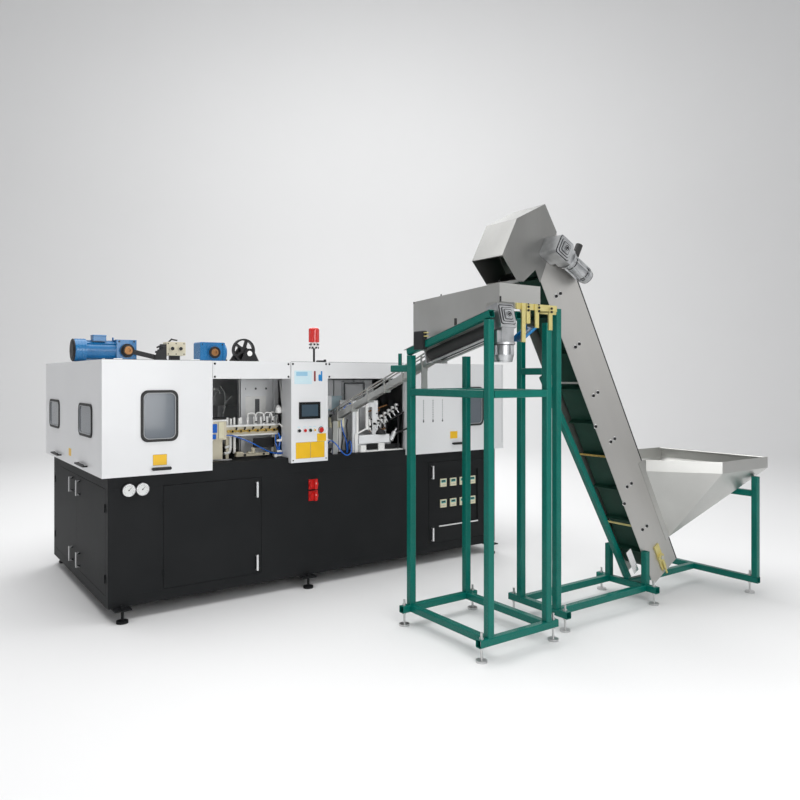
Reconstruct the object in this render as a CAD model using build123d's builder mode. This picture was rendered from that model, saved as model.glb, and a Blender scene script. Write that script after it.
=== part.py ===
from build123d import *
import os
from math import cos, hypot, pi, radians, sin

os.makedirs("parts", exist_ok=True)

# A linear blow moulding machine for plastic bottles with its preform feeder. A black cabinet
# carries the moulding line under white guards. A cleated elevator lifts preforms out of a
# hopper into a trough, two rollers turn them upright, and a chute takes them into the machine.
# Millimetres, +Z up, +X along the machine, the operator stands on the -Y side, floor at Z = 0.

# Stock and fits
sheet = 3
pan_sheet = 2
tube_wall = 3
tube_corner = 7
weld_gap = 0.3
seat_gap = 0.3
door_gap = 3
running_fit = 0.06

# Base cabinet
base_length = 3760
base_depth = 2020
base_bottom = 100
base_top = 1100
deck_thickness = 8
base_tube = 60
door_low = 185
door_high = 958
hinge_above_low = 122
hinge_below_high = 137
door_depth = 30
service_door_start = 400
service_door_width = 790
electrical_door_start = 2910
electrical_door_width = 710
end_door_margin = 68
end_door_split = 1050
handle_inset = 45
handle_inset_electrical = 34
handle_inset_end = 135
bar_handle_length = 125
bar_handle_width = 16
bar_handle_thickness = 10
bar_handle_standoff = 24
bar_handle_high = 865
bar_handle_low = 276

# Base feet
foot_stations = (90, 1600, 3670)
foot_plate_width = 120
foot_plate_length = 150
foot_plate_thickness = 10
foot_ahead = 40
foot_pad_radius = 42
foot_pad_height = 18
foot_bolt_radius = 10
foot_bolt_above = 30
foot_nut_radius = 17
foot_nut_height = 14

# Butt hinges
hinge_radius = 5
hinge_pin_radius = 2.5
hinge_length = 60
hinge_leaf_width = 24
hinge_leaf = 2

# Controller panel in the electrical door
panel_start = 123
panel_width = 498
panel_low = 341
panel_high = 861
panel_recess = 14
controller_size = 76
controller_body = 60
controller_depth = 40
controller_proud = 10
controller_columns = 4
controller_pitch = 123
controller_first = 186
controller_rows = (752, 552)

# Gauges and rotary isolators on the cabinet front
gauge_stations = (143, 241)
gauge_height = 949
gauge_radius = 49
gauge_depth = 22
gauge_bezel = 6
isolator_station = 1665
isolator_heights = (863, 766)
isolator_radius = 38
isolator_disc = 16
isolator_plate = 84
isolator_plate_thickness = 12
isolator_grip_width = 18
isolator_grip_depth = 32
isolator_spindle_radius = 6
isolator_spindle_length = 9

# Air receiver and electrical plate inside the cabinet
receiver_start = 520
receiver_length = 1500
receiver_radius = 240
receiver_end_share = 0.45
receiver_height = 430
receiver_back = 1050
receiver_port_radius = 30
saddle_thickness = 12
saddle_width = 300
saddle_inset = 260
backplate_back = 420
backplate_thickness = 4
backplate_margin = 25
breaker_width = 45
breaker_height = 90
breaker_depth = 60
breaker_columns = 8
breaker_rows = 3
breaker_pitch_x = 70
breaker_pitch_z = 200

# White guards
guard_bottom = 1050
guard_top = 1900
guard_left_overhang = 50
guard_right_overhang = 80
guard_front_overhang = 40
guard_back_overhang = 120
guard_tube = 50
left_guard_end = 765
console_start = 1437
console_end = 1783
right_guard_start = 2637
fascia_bottom = 1760
window_corner = 45
window_seal = 13
window_seal_proud = 6
window_pane = 5
window_play = 0.5
front_window_width = 262
front_window_low = 1301
front_window_high = 1670
left_window_centre = 358
right_window_centre = 3430
end_window_width = 440
end_window_low = 1325
end_window_high = 1565
end_window_centres = (470, 1700)
pull_length = 138
pull_standoff = 36
pull_section = 12
end_pull_length = 300
pull_height = 1095
left_pull_station = 368
right_pull_station = 3234
right_pull_height = 1131
end_pull_stations = (550, 1550)
guard_hinge_inset = 120

# Operator console
console_bottom = 1060
console_overhang = 50
console_depth = 180
screen_station = 1607
screen_height = 1493
screen_width = 200
screen_tall = 141
screen_frame = 18
screen_proud = 8
screen_recess = 3
button_height = 1326
button_stem_radius = 7
button_cap_radius = 13
button_proud = 9
button_stem_length = 22
button_travel = 4
button_ring_radius = 15
button_ring = 3
black_button_station = 1507
red_button_station = 1562
selector_station = 1614
selector_grip_width = 9
selector_grip_depth = 16
emergency_station = 1717
lamp_station = 1656
lamp_proud = 8
emergency_radius = 21

# Beacon
beacon_station = 1690
beacon_pole_radius = 9
beacon_pole_height = 120
beacon_base_radius = 34
beacon_base_height = 50
beacon_lamp_radius = 46
beacon_lamp_height = 125
beacon_crown_share = 0.4
beacon_back = 25

# Drives on the roof
roof_line_back = 1200
motor_axis_rise = 105
left_motor_start = -10
cowl_radius = 98
cowl_length = 110
motor_radius = 88
motor_length = 240
gearcase_length = 170
gearcase_width = 170
gearcase_tall = 190
hub_radius = 60
hub_length = 26
hub_bore = 20
fin_count = 8
fin_height = 12
fin_thickness = 4
arm_width = 42
arm_thickness = 20
arm_reach = 260
arm_drop = 60
bracket_start = 640
bracket_width = 130
bracket_tall = 120
bracket_thickness = 14
bracket_shares = (0.3, 0.7)
valve_start = 785
valve_length = 175
valve_width = 110
valve_tall = 125
valve_pedestal = 70
valve_chamfer = 6
valve_port_shares = (0.28, 0.72)
valve_port_radius = 20
valve_port_depth = 14
right_motor_start = 1085
right_case_length = 240
right_case_chamfer = 10
right_hub_share = 0.55
pulley_station = 1552
pulley_radius = 112
pulley_rise = 135
pulley_hub_radius = 36
pulley_rim = 16
pulley_width = 44
pulley_spokes = 5
spoke_width = 20
pulley_shaft_radius = 14
bearing_half_width = 150
bearing_plate = 18

# Moulding station seen through the left bay
manifold_start = 965
manifold_end = 1440
manifold_back = 210
manifold_low = 1295
manifold_tall = 66
manifold_depth = 42
manifold_lug = 10
outlet_count = 8
outlet_radius = 10
outlet_height = 78
outlet_collar = 15
outlet_collar_share = 1.5
outlet_lug_share = 1.3
valve_stack_start = 800
valve_stack_width = 130
valve_stack_low = 1270
valve_stack_tall = 150
valve_stack_depth = 120
valve_stack_back = 90
valve_stack_chamfer = 8
leg_size = 24
platen_start = 1190
platen_width = 350
platen_back = 450
platen_thickness = 36
platen_top = 1830
platen_slot_width = 30
platen_slot_tall = 120
platen_window_width = 150
platen_window_low = 1420
platen_window_tall = 240
platen_recess = 10
back_platen_back = 1250
mould_width = 210
mould_tall = 275
mould_depth = 120
mould_low = 1225
tie_radius = 22
tie_inset = 45
tie_heights = (1160, 1780)
clamp_column = 40

# Lamp bank behind the infeed: upright panels on one base, and a framed pane before them
bank_start = 1850
bank_back = 520
bank_panel_count = 7
bank_panel_width = 96
bank_panel_pitch = 110
bank_panel_depth = 24
bank_top = 1745
bank_base_tall = 60
bank_pane_start = 2255
bank_pane_width = 245
bank_pane_low = 1534
bank_pane_tall = 192
bank_pane_depth = 40
bank_pane_frame = 22

# Preform infeed seen through the right bay
infeed_start = 2100
infeed_width = 270
infeed_back = 60
infeed_plate = 14
infeed_top = 1560
infeed_depth = 220
infeed_cut_width = 150
infeed_cut_low = 1240
infeed_cut_high = 1500
infeed_beam_end = 2590
infeed_beam_low = 1145
infeed_beam_tall = 66
infeed_beam_depth = 50
spindle_count = 5
spindle_pitch = 36
spindle_first = 0.6
spindle_radius = 15
spindle_height = 110
spindle_base = 60
oven_box_start = 1872
oven_box_width = 128
oven_box_low = 1485
oven_box_tall = 120
oven_box_depth = 140
oven_box_back = 260

# Air hoses, by hand: points as distances from the left end, from the front and from the floor
hose_radius = 5
hose_left_route = (
    (930, 150, 1300), (1000, 150, 1300), (1090, 126, 1264), (1176, 106, 1222),
    (1256, 100, 1176), (1332, 108, 1140), (1384, 110, 1132), (1437, 110, 1132),
)
hose_right_route = (
    (2100, 67, 1536), (2040, 67, 1536), (1992, 60, 1466), (1976, 56, 1390),
    (1988, 54, 1314), (2016, 54, 1246), (2036, 54, 1180), (2036, 54, 1100),
)
hose_loop_route = (
    (1846, 84, 1100), (1846, 84, 1172), (1856, 36, 1228), (1880, -24, 1196), (1914, -52, 1130),
    (1966, -56, 1088), (2024, -38, 1106), (2056, 4, 1166), (2068, 54, 1214), (2076, 104, 1176),
    (2076, 104, 1100),
)

# Stands of green square tube
stand_tube = 50
stand_tube_height = 117
stand_pad_radius = 37
stand_pad_height = 14
stand_stem_radius = 8
stand_stem_above = 42
stand_nut_radius = 14
stand_nut_height = 10
stem_play = 0.5

# Sorter stand
sorter_left = 1783
sorter_right = 2303
sorter_near = 2078
sorter_far = 1256
sorter_foot_reach = 62
sorter_tube_reach = 88
sorter_ring_height = 1666
near_post_top = 2135
side_arm_drop = 94
side_arm_length = 200
side_peg_radius = 14
side_peg_tall = 85
side_peg_back = 115

# Sorter trough and rollers; heights fall toward the machine
slope = 14
rail_size = 46
trough_left = 1850
trough_right = 2215
trough_far = 1190
trough_near_top = 2370
trough_far_top = 2322
trough_sheet = 2
trough_throat = 1962
trough_knee = 2215
trough_right_low = 2240
trough_notch_top = 2252
trough_notch_room = 12
roller_radius = 38
roller_nip = 16
roller_shaft_radius = 12
roller_margin = 10
roller_near = 2010
roller_far = 1395
bearing_plate_thickness = 12
bearing_plate_drop = 62
under_rail_radius = 9
under_rail_drop = 52
sorter_box_width = 136
sorter_box_depth = 112
sorter_box_tall = 160
sorter_box_rise = 52
sorter_box_rounding = 12
sorter_motor_radius = 68
sorter_motor_length = 125
sorter_adaptor_tall = 82
sorter_adaptor_size = 104
sorter_adaptor_depth = 86
terminal_size = 72
terminal_reach = 34
zinc_bar_tall = 40
zinc_bar_depth = 10
zinc_bar_height = 2230
zinc_start = 1990
zinc_end = 2363
zinc_leg_ahead = 1935
zinc_strap_low = 2085
zinc_hanger_width = 34
zinc_hangers = ((2044, 1999), (2085, 2120), (2165, 2095))
tray_low = 2004
tray_high = 2104
tray_start = 2044
tray_end = 2190
tray_depth = 110
tray_sheet = 3
tray_lip = 22

# Preform chute
chute_end_inside = 60
chute_end_height = 1400
chute_rod_start = 40
chute_gap = 34
chute_side_tall = 52
chute_side = 6
chute_guide_radius = 6
chute_guide_rise = 74
chute_tie_count = 6
chute_tie_size = 16
chute_tie_drop = 16
chute_leg_inset = 20

# Elevator
elevator_centre = 1750
elevator_width = 300
side_plate = 4
tail_station = 3800
tail_height = 320
head_station = 2510
head_height = 2660
plate_depth = 345
plate_below_tail = 150
plate_above_head = 90
plate_shoulder = 72
plate_shoulder_inset = 34
belt_thickness = 5
belt_side_play = 16
pulley_drum_radius = 92
belt_gap = 0.3
drum_side_play = 14
drum_shaft_radius = 15
shaft_stub = 30
bed_thickness = 3
cleat_height = 44
cleat_thickness = 6
cleat_count = 20
tie_rod_radius = 8
tie_rod_rise = 162
tie_rod_stations = (420, 1060, 1700)
hood_sheet = 3
hood_outline = (
    (2760, 142), (2978, 126), (2992, -179), (2827, -426), (2623, -382),
    (2589, -329), (2612, -184), (2515, -187),
)
hood_mouth_overrun = 12
edge_strip_width = 22
edge_strip_thickness = 12
take_up_length = 230
take_up_width = 60
take_up_plate = 10
take_up_boss = 34
take_up_screw_radius = 8
take_up_screw_length = 120

# Head gear motor
head_case_size = 150
head_case_chamfer = 15
head_case_depth = 146
head_motor_radius = 62
head_motor_length = 240
head_motor_drop = 28
head_adaptor = 46
head_adaptor_size = 110
head_knob_along = 180
head_knob_radius = 26
head_knob_top = 160

# Gear cases and motors
cover_steps = ((0.86, 6), (0.64, 12), (0.42, 17))
cover_boss_share = 0.15
cover_boss_rise = 24
motor_flange = 14
motor_flange_rim = 8
motor_cowl = 46
motor_cowl_taper = 14

# Elevator stand
elevator_post_station = 2566
elevator_post_top = 2254
elevator_right_station = 3580
elevator_short_post_top = 400
elevator_foot_reach = 78
elevator_tube_reach = 112
elevator_cross_height = 1815
brace_tube = 46
brace_top_height = 1780
brace_foot_ahead = 10

# Hopper
hopper_end = 4640
hopper_ahead = 2340
hopper_far_ahead = 1330
hopper_rim_start = 3970
hopper_rim_top = 1116
hopper_band = 90
hopper_sheet = 3
hopper_toe_height = 470
hopper_flange = 40
hopper_roll_radius = 10
hopper_post_station = 4500
hopper_post_inset = 27
hopper_beam_height = 820
hopper_foot_inset = 75

# The box round the whole line is centred on the origin
left = (guard_left_overhang + pull_standoff - hopper_end) / 2
front = (hopper_ahead - base_depth - guard_back_overhang) / 2
right = left + base_length
back = front + base_depth


def block(low, high, mode=Mode.ADD):
    """Adds a box between two corners to the piece being built."""
    size = [b - a for a, b in zip(low, high)]
    with Locations(tuple(low)):
        Box(*size, align=(Align.MIN, Align.MIN, Align.MIN), mode=mode)


def facing(start, end):
    """The plane at start that faces end, with its x axis level."""
    way = Vector(*end) - Vector(*start)
    level = (1, 0, 0) if abs(way.X) < 1e-6 else (0, 1, 0)
    return Plane(origin=start, x_dir=level, z_dir=way)


def distance(start, end):
    return (Vector(*end) - Vector(*start)).length


def square_tube(start, end, size, wall=tube_wall):
    """Adds a square tube with rounded corners from start to end."""
    with BuildSketch(facing(start, end)) as section:
        RectangleRounded(size, size, tube_corner)
        Rectangle(size - 2 * wall, size - 2 * wall, mode=Mode.SUBTRACT)
    extrude(section.sketch, amount=distance(start, end))


def bar(start, end, radius, mode=Mode.ADD):
    """Adds a round bar from start to end."""
    with BuildSketch(facing(start, end)) as section:
        Circle(radius)
    extrude(section.sketch, amount=distance(start, end), mode=mode)


def flat(start, end, width, thickness):
    """Adds a flat bar from start to end: its width is level, its thickness square to that."""
    with BuildSketch(facing(start, end)) as section:
        Rectangle(width, thickness)
    extrude(section.sketch, amount=distance(start, end))


def slab(plane, points, amount, mode=Mode.ADD):
    """Adds a plate: the outline drawn through points on a plane, extruded by amount."""
    with BuildSketch(plane) as outline:
        Polygon(*points, align=None)
    extrude(outline.sketch, amount=amount, mode=mode)


def pan(low, high, open_side, wall=pan_sheet):
    """Adds a folded pan: a box whose open_side, such as (0, 1, 0), has no sheet."""
    block(low, high)
    inner_low = [a + wall * (side != -1) - wall * (side == -1)
                 for a, side in zip(low, open_side)]
    inner_high = [b - wall * (side != 1) + wall * (side == 1)
                  for b, side in zip(high, open_side)]
    block(inner_low, inner_high, mode=Mode.SUBTRACT)


def hinge_half(place, moving):
    """Adds half a butt hinge. The plane's z is the pin's line, its x points to the moving
    leaf and its y away from the faces that the leaves lie on."""
    side = 1 if moving else -1
    foot = seat_gap - hinge_radius
    leaf = [(0, foot), (side * hinge_leaf_width, foot),
            (side * hinge_leaf_width, foot + hinge_leaf), (0, foot + hinge_leaf)]
    start = weld_gap / 2 if moving else -hinge_length / 2
    with BuildSketch(place.offset(start)) as half:
        Polygon(*leaf, align=None)
        Circle(hinge_radius - seat_gap)
        if moving:
            Circle(hinge_pin_radius + running_fit, mode=Mode.SUBTRACT)
    extrude(half.sketch, amount=(hinge_length - weld_gap) / 2)
    if not moving:
        with BuildSketch(place.offset(-weld_gap / 2)) as pin:
            Circle(hinge_pin_radius)
        extrude(pin.sketch, amount=hinge_length / 2)


def tube_on_route(route, radius):
    """Adds a tube along hand-set points, each corner as round as its two runs allow."""
    points = [Vector(left + x, front + y, z) for x, y, z in route]
    radii = []
    for before, here, after in zip(points, points[1:], points[2:]):
        turn = (here - before).get_angle(after - here)
        shorter = min((here - before).length, (after - here).length)
        half = radians(turn / 2)
        radii.append(0.45 * shorter * cos(half) / sin(half))
    with BuildLine() as path:
        FilletPolyline(*points, radius=radii)
    with BuildSketch(Plane(origin=path.wire() @ 0, z_dir=path.wire() % 0)) as section:
        Circle(radius)
    sweep(section.sketch, path=path.wire())
    print("hose radii", [round(r) for r in radii], "length", round(path.wire().length))


# Cabinet: welded frame with the hinge halves that stay on it
frame_front = front + sheet + base_tube / 2
frame_back = back - sheet - base_tube / 2
frame_left = left + sheet + base_tube / 2
frame_right = right - sheet - base_tube / 2
rail_low = base_bottom + base_tube / 2
rail_high = base_top - deck_thickness - base_tube / 2
deck_under = base_top - deck_thickness
service_left = left + service_door_start
service_right = service_left + service_door_width
electrical_left = left + electrical_door_start
electrical_right = electrical_left + electrical_door_width
end_near = front + end_door_margin
end_far = back - end_door_margin
end_split = front + end_door_split
post_side = door_gap + base_tube / 2
tube_side = base_tube / 2 + weld_gap
front_posts = (frame_left, service_left - post_side, service_right + post_side,
               electrical_left - post_side, electrical_right + post_side, frame_right)
back_posts = (frame_left, service_right + post_side, electrical_left - post_side, frame_right)

with BuildPart() as base_frame:
    for y in (frame_front, frame_back):
        for z in (rail_low, rail_high):
            square_tube((left + sheet, y, z), (right - sheet, y, z), base_tube)
    for x in (frame_left, frame_right):
        for z in (rail_low, rail_high):
            square_tube((x, frame_front + tube_side, z), (x, frame_back - tube_side, z), base_tube)
    for x in back_posts[1:-1]:
        square_tube((x, frame_front + tube_side, rail_high),
                    (x, frame_back - tube_side, rail_high), base_tube)
    for stations, y in ((front_posts, frame_front), (back_posts, frame_back)):
        for x in stations:
            square_tube((x, y, rail_low + tube_side), (x, y, rail_high - tube_side), base_tube)
base_frame.part.label = "base_frame"
export_step(base_frame.part, "parts/base_frame.step")

# Hinge places: the pin's line stands one barrel radius proud of the faces
hinge_heights = (door_low + hinge_above_low, door_high - hinge_below_high)


def upright_hinge(x, y, z, to_moving, outward):
    """The plane of a hinge with an upright pin: its y axis is z crossed with its x axis."""
    up = 1 if Vector(0, 0, 1).cross(Vector(*to_moving)).dot(Vector(*outward)) > 0 else -1
    return Plane(origin=(x, y, z), x_dir=to_moving, z_dir=(0, 0, up))


service_hinges = [upright_hinge(service_left - door_gap / 2, front - hinge_radius, z,
                                (1, 0, 0), (0, -1, 0)) for z in hinge_heights]
electrical_hinges = [upright_hinge(electrical_right + door_gap / 2, front - hinge_radius, z,
                                   (-1, 0, 0), (0, -1, 0)) for z in hinge_heights]
end_near_hinges = [upright_hinge(left - hinge_radius, end_near - door_gap / 2, z,
                                 (0, 1, 0), (-1, 0, 0)) for z in hinge_heights]
end_far_hinges = [upright_hinge(left - hinge_radius, end_far + door_gap / 2, z,
                                (0, -1, 0), (-1, 0, 0)) for z in hinge_heights]

# Cabinet sheets: front strips and fields round the doors, ends, back, floor and deck
hole_low = door_low - door_gap
hole_high = door_high + door_gap
inner_near = front + sheet + weld_gap
inner_far = back - sheet - weld_gap

with BuildPart() as base_panels:
    block((left, front, base_bottom), (right, front + sheet, hole_low))
    block((left, front, hole_high), (right, front + sheet, deck_under))
    front_fields = ((left, service_left - door_gap), (service_right + door_gap,
                    electrical_left - door_gap), (electrical_right + door_gap, right))
    for start, end in front_fields:
        block((start, front, hole_low + weld_gap), (end, front + sheet, hole_high - weld_gap))
    block((left, inner_near, base_bottom), (left + sheet, inner_far, hole_low))
    block((left, inner_near, hole_high), (left + sheet, inner_far, deck_under))
    for start, end in ((inner_near, end_near - door_gap), (end_far + door_gap, inner_far)):
        block((left, start, hole_low + weld_gap), (left + sheet, end, hole_high - weld_gap))
    block((left, back - sheet, base_bottom), (right, back, deck_under))
    block((right - sheet, inner_near, base_bottom), (right, inner_far, deck_under))
    inset = sheet + base_tube + weld_gap
    block((left + inset, front + inset, base_bottom),
          (right - inset, back - inset, base_bottom + sheet))
    block((left, front, deck_under + weld_gap), (right, back, base_top))
    for place in service_hinges + electrical_hinges + end_near_hinges + end_far_hinges:
        hinge_half(place, moving=False)
base_panels.part.label = "base_panels"
export_step(base_panels.part, "parts/base_panels.step")

# Cabinet feet: a plate under the rail, a levelling bolt and a round pad
with BuildPart() as base_feet:
    for station in foot_stations:
        for edge, way in ((front, -1), (back, 1)):
            x = left + station
            y = edge + way * foot_ahead
            inner = edge + way * (foot_ahead + foot_pad_radius - foot_plate_length)
            outer = edge + way * (foot_ahead + foot_pad_radius)
            block((x - foot_plate_width / 2, min(inner, outer), base_bottom - foot_plate_thickness),
                  (x + foot_plate_width / 2, max(inner, outer), base_bottom))
            bar((x, y, foot_pad_height / 2), (x, y, base_bottom + foot_bolt_above), foot_bolt_radius)
            bar((x, y, base_bottom), (x, y, base_bottom + foot_nut_height), foot_nut_radius)
            bar((x, y, 0), (x, y, foot_pad_height), foot_pad_radius)
base_feet.part.label = "base_feet"
export_step(base_feet.part, "parts/base_feet.step")


# Cabinet doors
def bar_handle(x, y, z, out):
    """Adds an upright bar on two short legs: its foot is at x, y and out points away."""
    legs = [z - bar_handle_length / 2 + bar_handle_width / 2,
            z + bar_handle_length / 2 - bar_handle_width / 2]
    foot = Vector(x, y, 0) + Vector(*out) * seat_gap
    top = Vector(x, y, 0) + Vector(*out) * (bar_handle_standoff + bar_handle_thickness)
    grip = Vector(x, y, 0) + Vector(*out) * (bar_handle_standoff + bar_handle_thickness / 2)
    for leg in legs:
        flat((foot.X, foot.Y, leg), (top.X, top.Y, leg), bar_handle_width, bar_handle_width)
    with BuildSketch(Plane(origin=(grip.X, grip.Y, z - bar_handle_length / 2), x_dir=out,
                           z_dir=(0, 0, 1))) as section:
        Rectangle(bar_handle_thickness, bar_handle_width)
    extrude(section.sketch, amount=bar_handle_length)


with BuildPart() as service_door:
    pan((service_left, front, door_low), (service_right, front + door_depth, door_high), (0, 1, 0))
    for place in service_hinges:
        hinge_half(place, moving=True)
    for height in (bar_handle_low, bar_handle_high):
        bar_handle(service_right - handle_inset, front, height, (0, -1, 0))
service_door.part.label = "service_door"
export_step(service_door.part, "parts/service_door.step")

with BuildPart() as electrical_door:
    pan((electrical_left, front, door_low), (electrical_right, front + door_depth, door_high),
        (0, 1, 0))
    panel_left = electrical_left + panel_start
    panel_right = panel_left + panel_width
    block((panel_left - pan_sheet, front, panel_low - pan_sheet),
          (panel_right + pan_sheet, front + panel_recess + pan_sheet, panel_high + pan_sheet))
    block((panel_left, front - 1, panel_low), (panel_right, front + panel_recess, panel_high),
          mode=Mode.SUBTRACT)
    for row in controller_rows:
        for column in range(controller_columns):
            x = electrical_left + controller_first + column * controller_pitch
            half = controller_body / 2 + door_gap / 2
            block((x - half, front, row - half), (x + half, front + door_depth, row + half),
                  mode=Mode.SUBTRACT)
    for place in electrical_hinges:
        hinge_half(place, moving=True)
    for height in (bar_handle_low, bar_handle_high):
        bar_handle(electrical_left + handle_inset_electrical, front, height, (0, -1, 0))
electrical_door.part.label = "electrical_door"
export_step(electrical_door.part, "parts/electrical_door.step")

with BuildPart() as temperature_controllers:
    for row in controller_rows:
        for column in range(controller_columns):
            x = electrical_left + controller_first + column * controller_pitch
            face = front + panel_recess
            block((x - controller_size / 2, face - controller_proud, row - controller_size / 2),
                  (x + controller_size / 2, face - seat_gap, row + controller_size / 2))
            block((x - controller_body / 2, face - controller_proud, row - controller_body / 2),
                  (x + controller_body / 2, face + controller_depth, row + controller_body / 2))
temperature_controllers.part.label = "temperature_controllers"
export_step(temperature_controllers.part, "parts/temperature_controllers.step")

with BuildPart() as end_door_front:
    pan((left, end_near, door_low), (left + door_depth, end_split - door_gap / 2, door_high),
        (1, 0, 0))
    for place in end_near_hinges:
        hinge_half(place, moving=True)
    for height in (bar_handle_low, bar_handle_high):
        bar_handle(left, end_split - handle_inset_end, height, (-1, 0, 0))
end_door_front.part.label = "end_door_front"
export_step(end_door_front.part, "parts/end_door_front.step")

with BuildPart() as end_door_rear:
    pan((left, end_split + door_gap / 2, door_low), (left + door_depth, end_far, door_high),
        (1, 0, 0))
    for place in end_far_hinges:
        hinge_half(place, moving=True)
    for height in (bar_handle_low, bar_handle_high):
        bar_handle(left, end_split + handle_inset_end, height, (-1, 0, 0))
end_door_rear.part.label = "end_door_rear"
export_step(end_door_rear.part, "parts/end_door_rear.step")

# Fittings on the cabinet front: two gauges with sunk dials, two square isolator plates
with BuildPart() as panel_fittings:
    for station in gauge_stations:
        x = left + station
        bar((x, front - seat_gap, gauge_height), (x, front - gauge_depth, gauge_height), gauge_radius)
        bar((x, front - gauge_depth, gauge_height), (x, front - gauge_depth + gauge_bezel / 2,
            gauge_height), gauge_radius - gauge_bezel, mode=Mode.SUBTRACT)
    for height in isolator_heights:
        x = left + isolator_station
        block((x - isolator_plate / 2, front - isolator_plate_thickness, height - isolator_plate / 2),
              (x + isolator_plate / 2, front - seat_gap, height + isolator_plate / 2))
        bar((x, front, height), (x, front - isolator_plate_thickness, height),
            isolator_spindle_radius + running_fit, mode=Mode.SUBTRACT)
panel_fittings.part.label = "panel_fittings"
export_step(panel_fittings.part, "parts/panel_fittings.step")


def isolator_knob(height):
    """Adds a disc with a raised grip and the spindle that turns in the plate."""
    x = left + isolator_station
    disc_back = front - isolator_plate_thickness - seat_gap
    bar((x, disc_back, height), (x, disc_back - isolator_disc, height), isolator_radius)
    bar((x, disc_back, height), (x, disc_back + isolator_spindle_length, height),
        isolator_spindle_radius)
    block((x - isolator_grip_width / 2, disc_back - isolator_disc - isolator_grip_depth,
           height - isolator_radius),
          (x + isolator_grip_width / 2, disc_back, height + isolator_radius))


with BuildPart() as isolator_knob_upper:
    isolator_knob(isolator_heights[0])
isolator_knob_upper.part.label = "isolator_knob_upper"
export_step(isolator_knob_upper.part, "parts/isolator_knob_upper.step")

with BuildPart() as isolator_knob_lower:
    isolator_knob(isolator_heights[1])
isolator_knob_lower.part.label = "isolator_knob_lower"
export_step(isolator_knob_lower.part, "parts/isolator_knob_lower.step")

# Air receiver on two saddles inside the cabinet
floor_top = base_bottom + sheet
with BuildPart() as air_receiver:
    start = left + receiver_start
    end = start + receiver_length
    y = front + receiver_back
    bar((start, y, receiver_height), (end, y, receiver_height), receiver_radius)
    fillet(air_receiver.edges().filter_by(GeomType.CIRCLE), radius=receiver_radius * receiver_end_share)
    bar(((start + end) / 2, y, receiver_height),
        ((start + end) / 2, y, receiver_height + receiver_radius + receiver_port_radius),
        receiver_port_radius)
    for x in (start + saddle_inset, end - saddle_inset):
        block((x - saddle_thickness / 2, y - saddle_width / 2, floor_top),
              (x + saddle_thickness / 2, y + saddle_width / 2, receiver_height))
air_receiver.part.label = "air_receiver"
export_step(air_receiver.part, "parts/air_receiver.step")

# Electrical plate behind its door, with rows of breakers
with BuildPart() as electrical_backplate:
    plate_left = electrical_left + backplate_margin
    plate_right = electrical_right - backplate_margin
    face = front + backplate_back
    block((plate_left, face, floor_top), (plate_right, face + backplate_thickness, door_high))
    for row in range(breaker_rows):
        for column in range(breaker_columns):
            x = plate_left + (column + 1) * breaker_pitch_x
            z = door_low + (row + 1) * breaker_pitch_z
            block((x - breaker_width / 2, face - breaker_depth, z),
                  (x + breaker_width / 2, face, z + breaker_height))
electrical_backplate.part.label = "electrical_backplate"
export_step(electrical_backplate.part, "parts/electrical_backplate.step")

# Guards: frame of white tube on the deck
guard_near = front + guard_tube / 2
guard_far = back - sheet - guard_tube / 2 - seat_gap
guard_rail = guard_top - sheet - guard_tube / 2
guard_side = guard_tube / 2 + weld_gap
guard_posts = (left + guard_tube / 2, left + left_guard_end - guard_tube / 2,
               left + right_guard_start + guard_tube / 2, right - guard_tube / 2)

with BuildPart() as guard_frame:
    for y in (guard_near, guard_far):
        square_tube((left, y, guard_rail), (right, y, guard_rail), guard_tube)
        for x in guard_posts:
            square_tube((x, y, base_top), (x, y, guard_rail - guard_side), guard_tube)
    for x in guard_posts:
        square_tube((x, guard_near + guard_side, guard_rail), (x, guard_far - guard_side, guard_rail),
                    guard_tube)
guard_frame.part.label = "guard_frame"
export_step(guard_frame.part, "parts/guard_frame.step")

# Guard doors hang from hinges on the roof's edge: the pin's line is over the door's gap
hinge_line_front = front - door_gap / 2
hinge_line_left = left - door_gap / 2
pin_height = guard_top + hinge_radius


def roof_hinges_front(start, end):
    return [Plane(origin=(x, hinge_line_front, pin_height), x_dir=(0, -1, 0), z_dir=(-1, 0, 0))
            for x in (start + guard_hinge_inset, end - guard_hinge_inset)]


left_guard_hinges = roof_hinges_front(left - guard_left_overhang, left + left_guard_end)
right_guard_hinges = roof_hinges_front(left + right_guard_start, right + guard_right_overhang)
end_guard_hinges = [Plane(origin=(hinge_line_left, y, pin_height), x_dir=(-1, 0, 0),
                          z_dir=(0, 1, 0))
                    for y in (front + guard_hinge_inset, back - guard_hinge_inset)]

# Fixed sheets of the guard: roof, back, right end and the hinge halves on the roof
with BuildPart() as guard_panels:
    block((left, front, guard_top - sheet), (right, back, guard_top))
    pan((left - guard_left_overhang, back + seat_gap, guard_bottom),
        (right + guard_right_overhang, back + guard_back_overhang, guard_top), (0, -1, 0))
    pan((right + seat_gap, front, guard_bottom), (right + guard_right_overhang, back, guard_top),
        (-1, 0, 0))
    for place in left_guard_hinges + right_guard_hinges + end_guard_hinges:
        hinge_half(place, moving=False)
guard_panels.part.label = "guard_panels"
export_step(guard_panels.part, "parts/guard_panels.step")

guard_face = front - guard_front_overhang
guard_seat = front - door_gap

# Beams over the two open bays
with BuildPart() as fascia_beams:
    for start, end in ((left_guard_end, console_start), (console_end, right_guard_start)):
        pan((left + start + door_gap, guard_face, fascia_bottom),
            (left + end - door_gap, front - seat_gap, guard_top), (0, 1, 0))
fascia_beams.part.label = "fascia_beams"
export_step(fascia_beams.part, "parts/fascia_beams.step")


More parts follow.
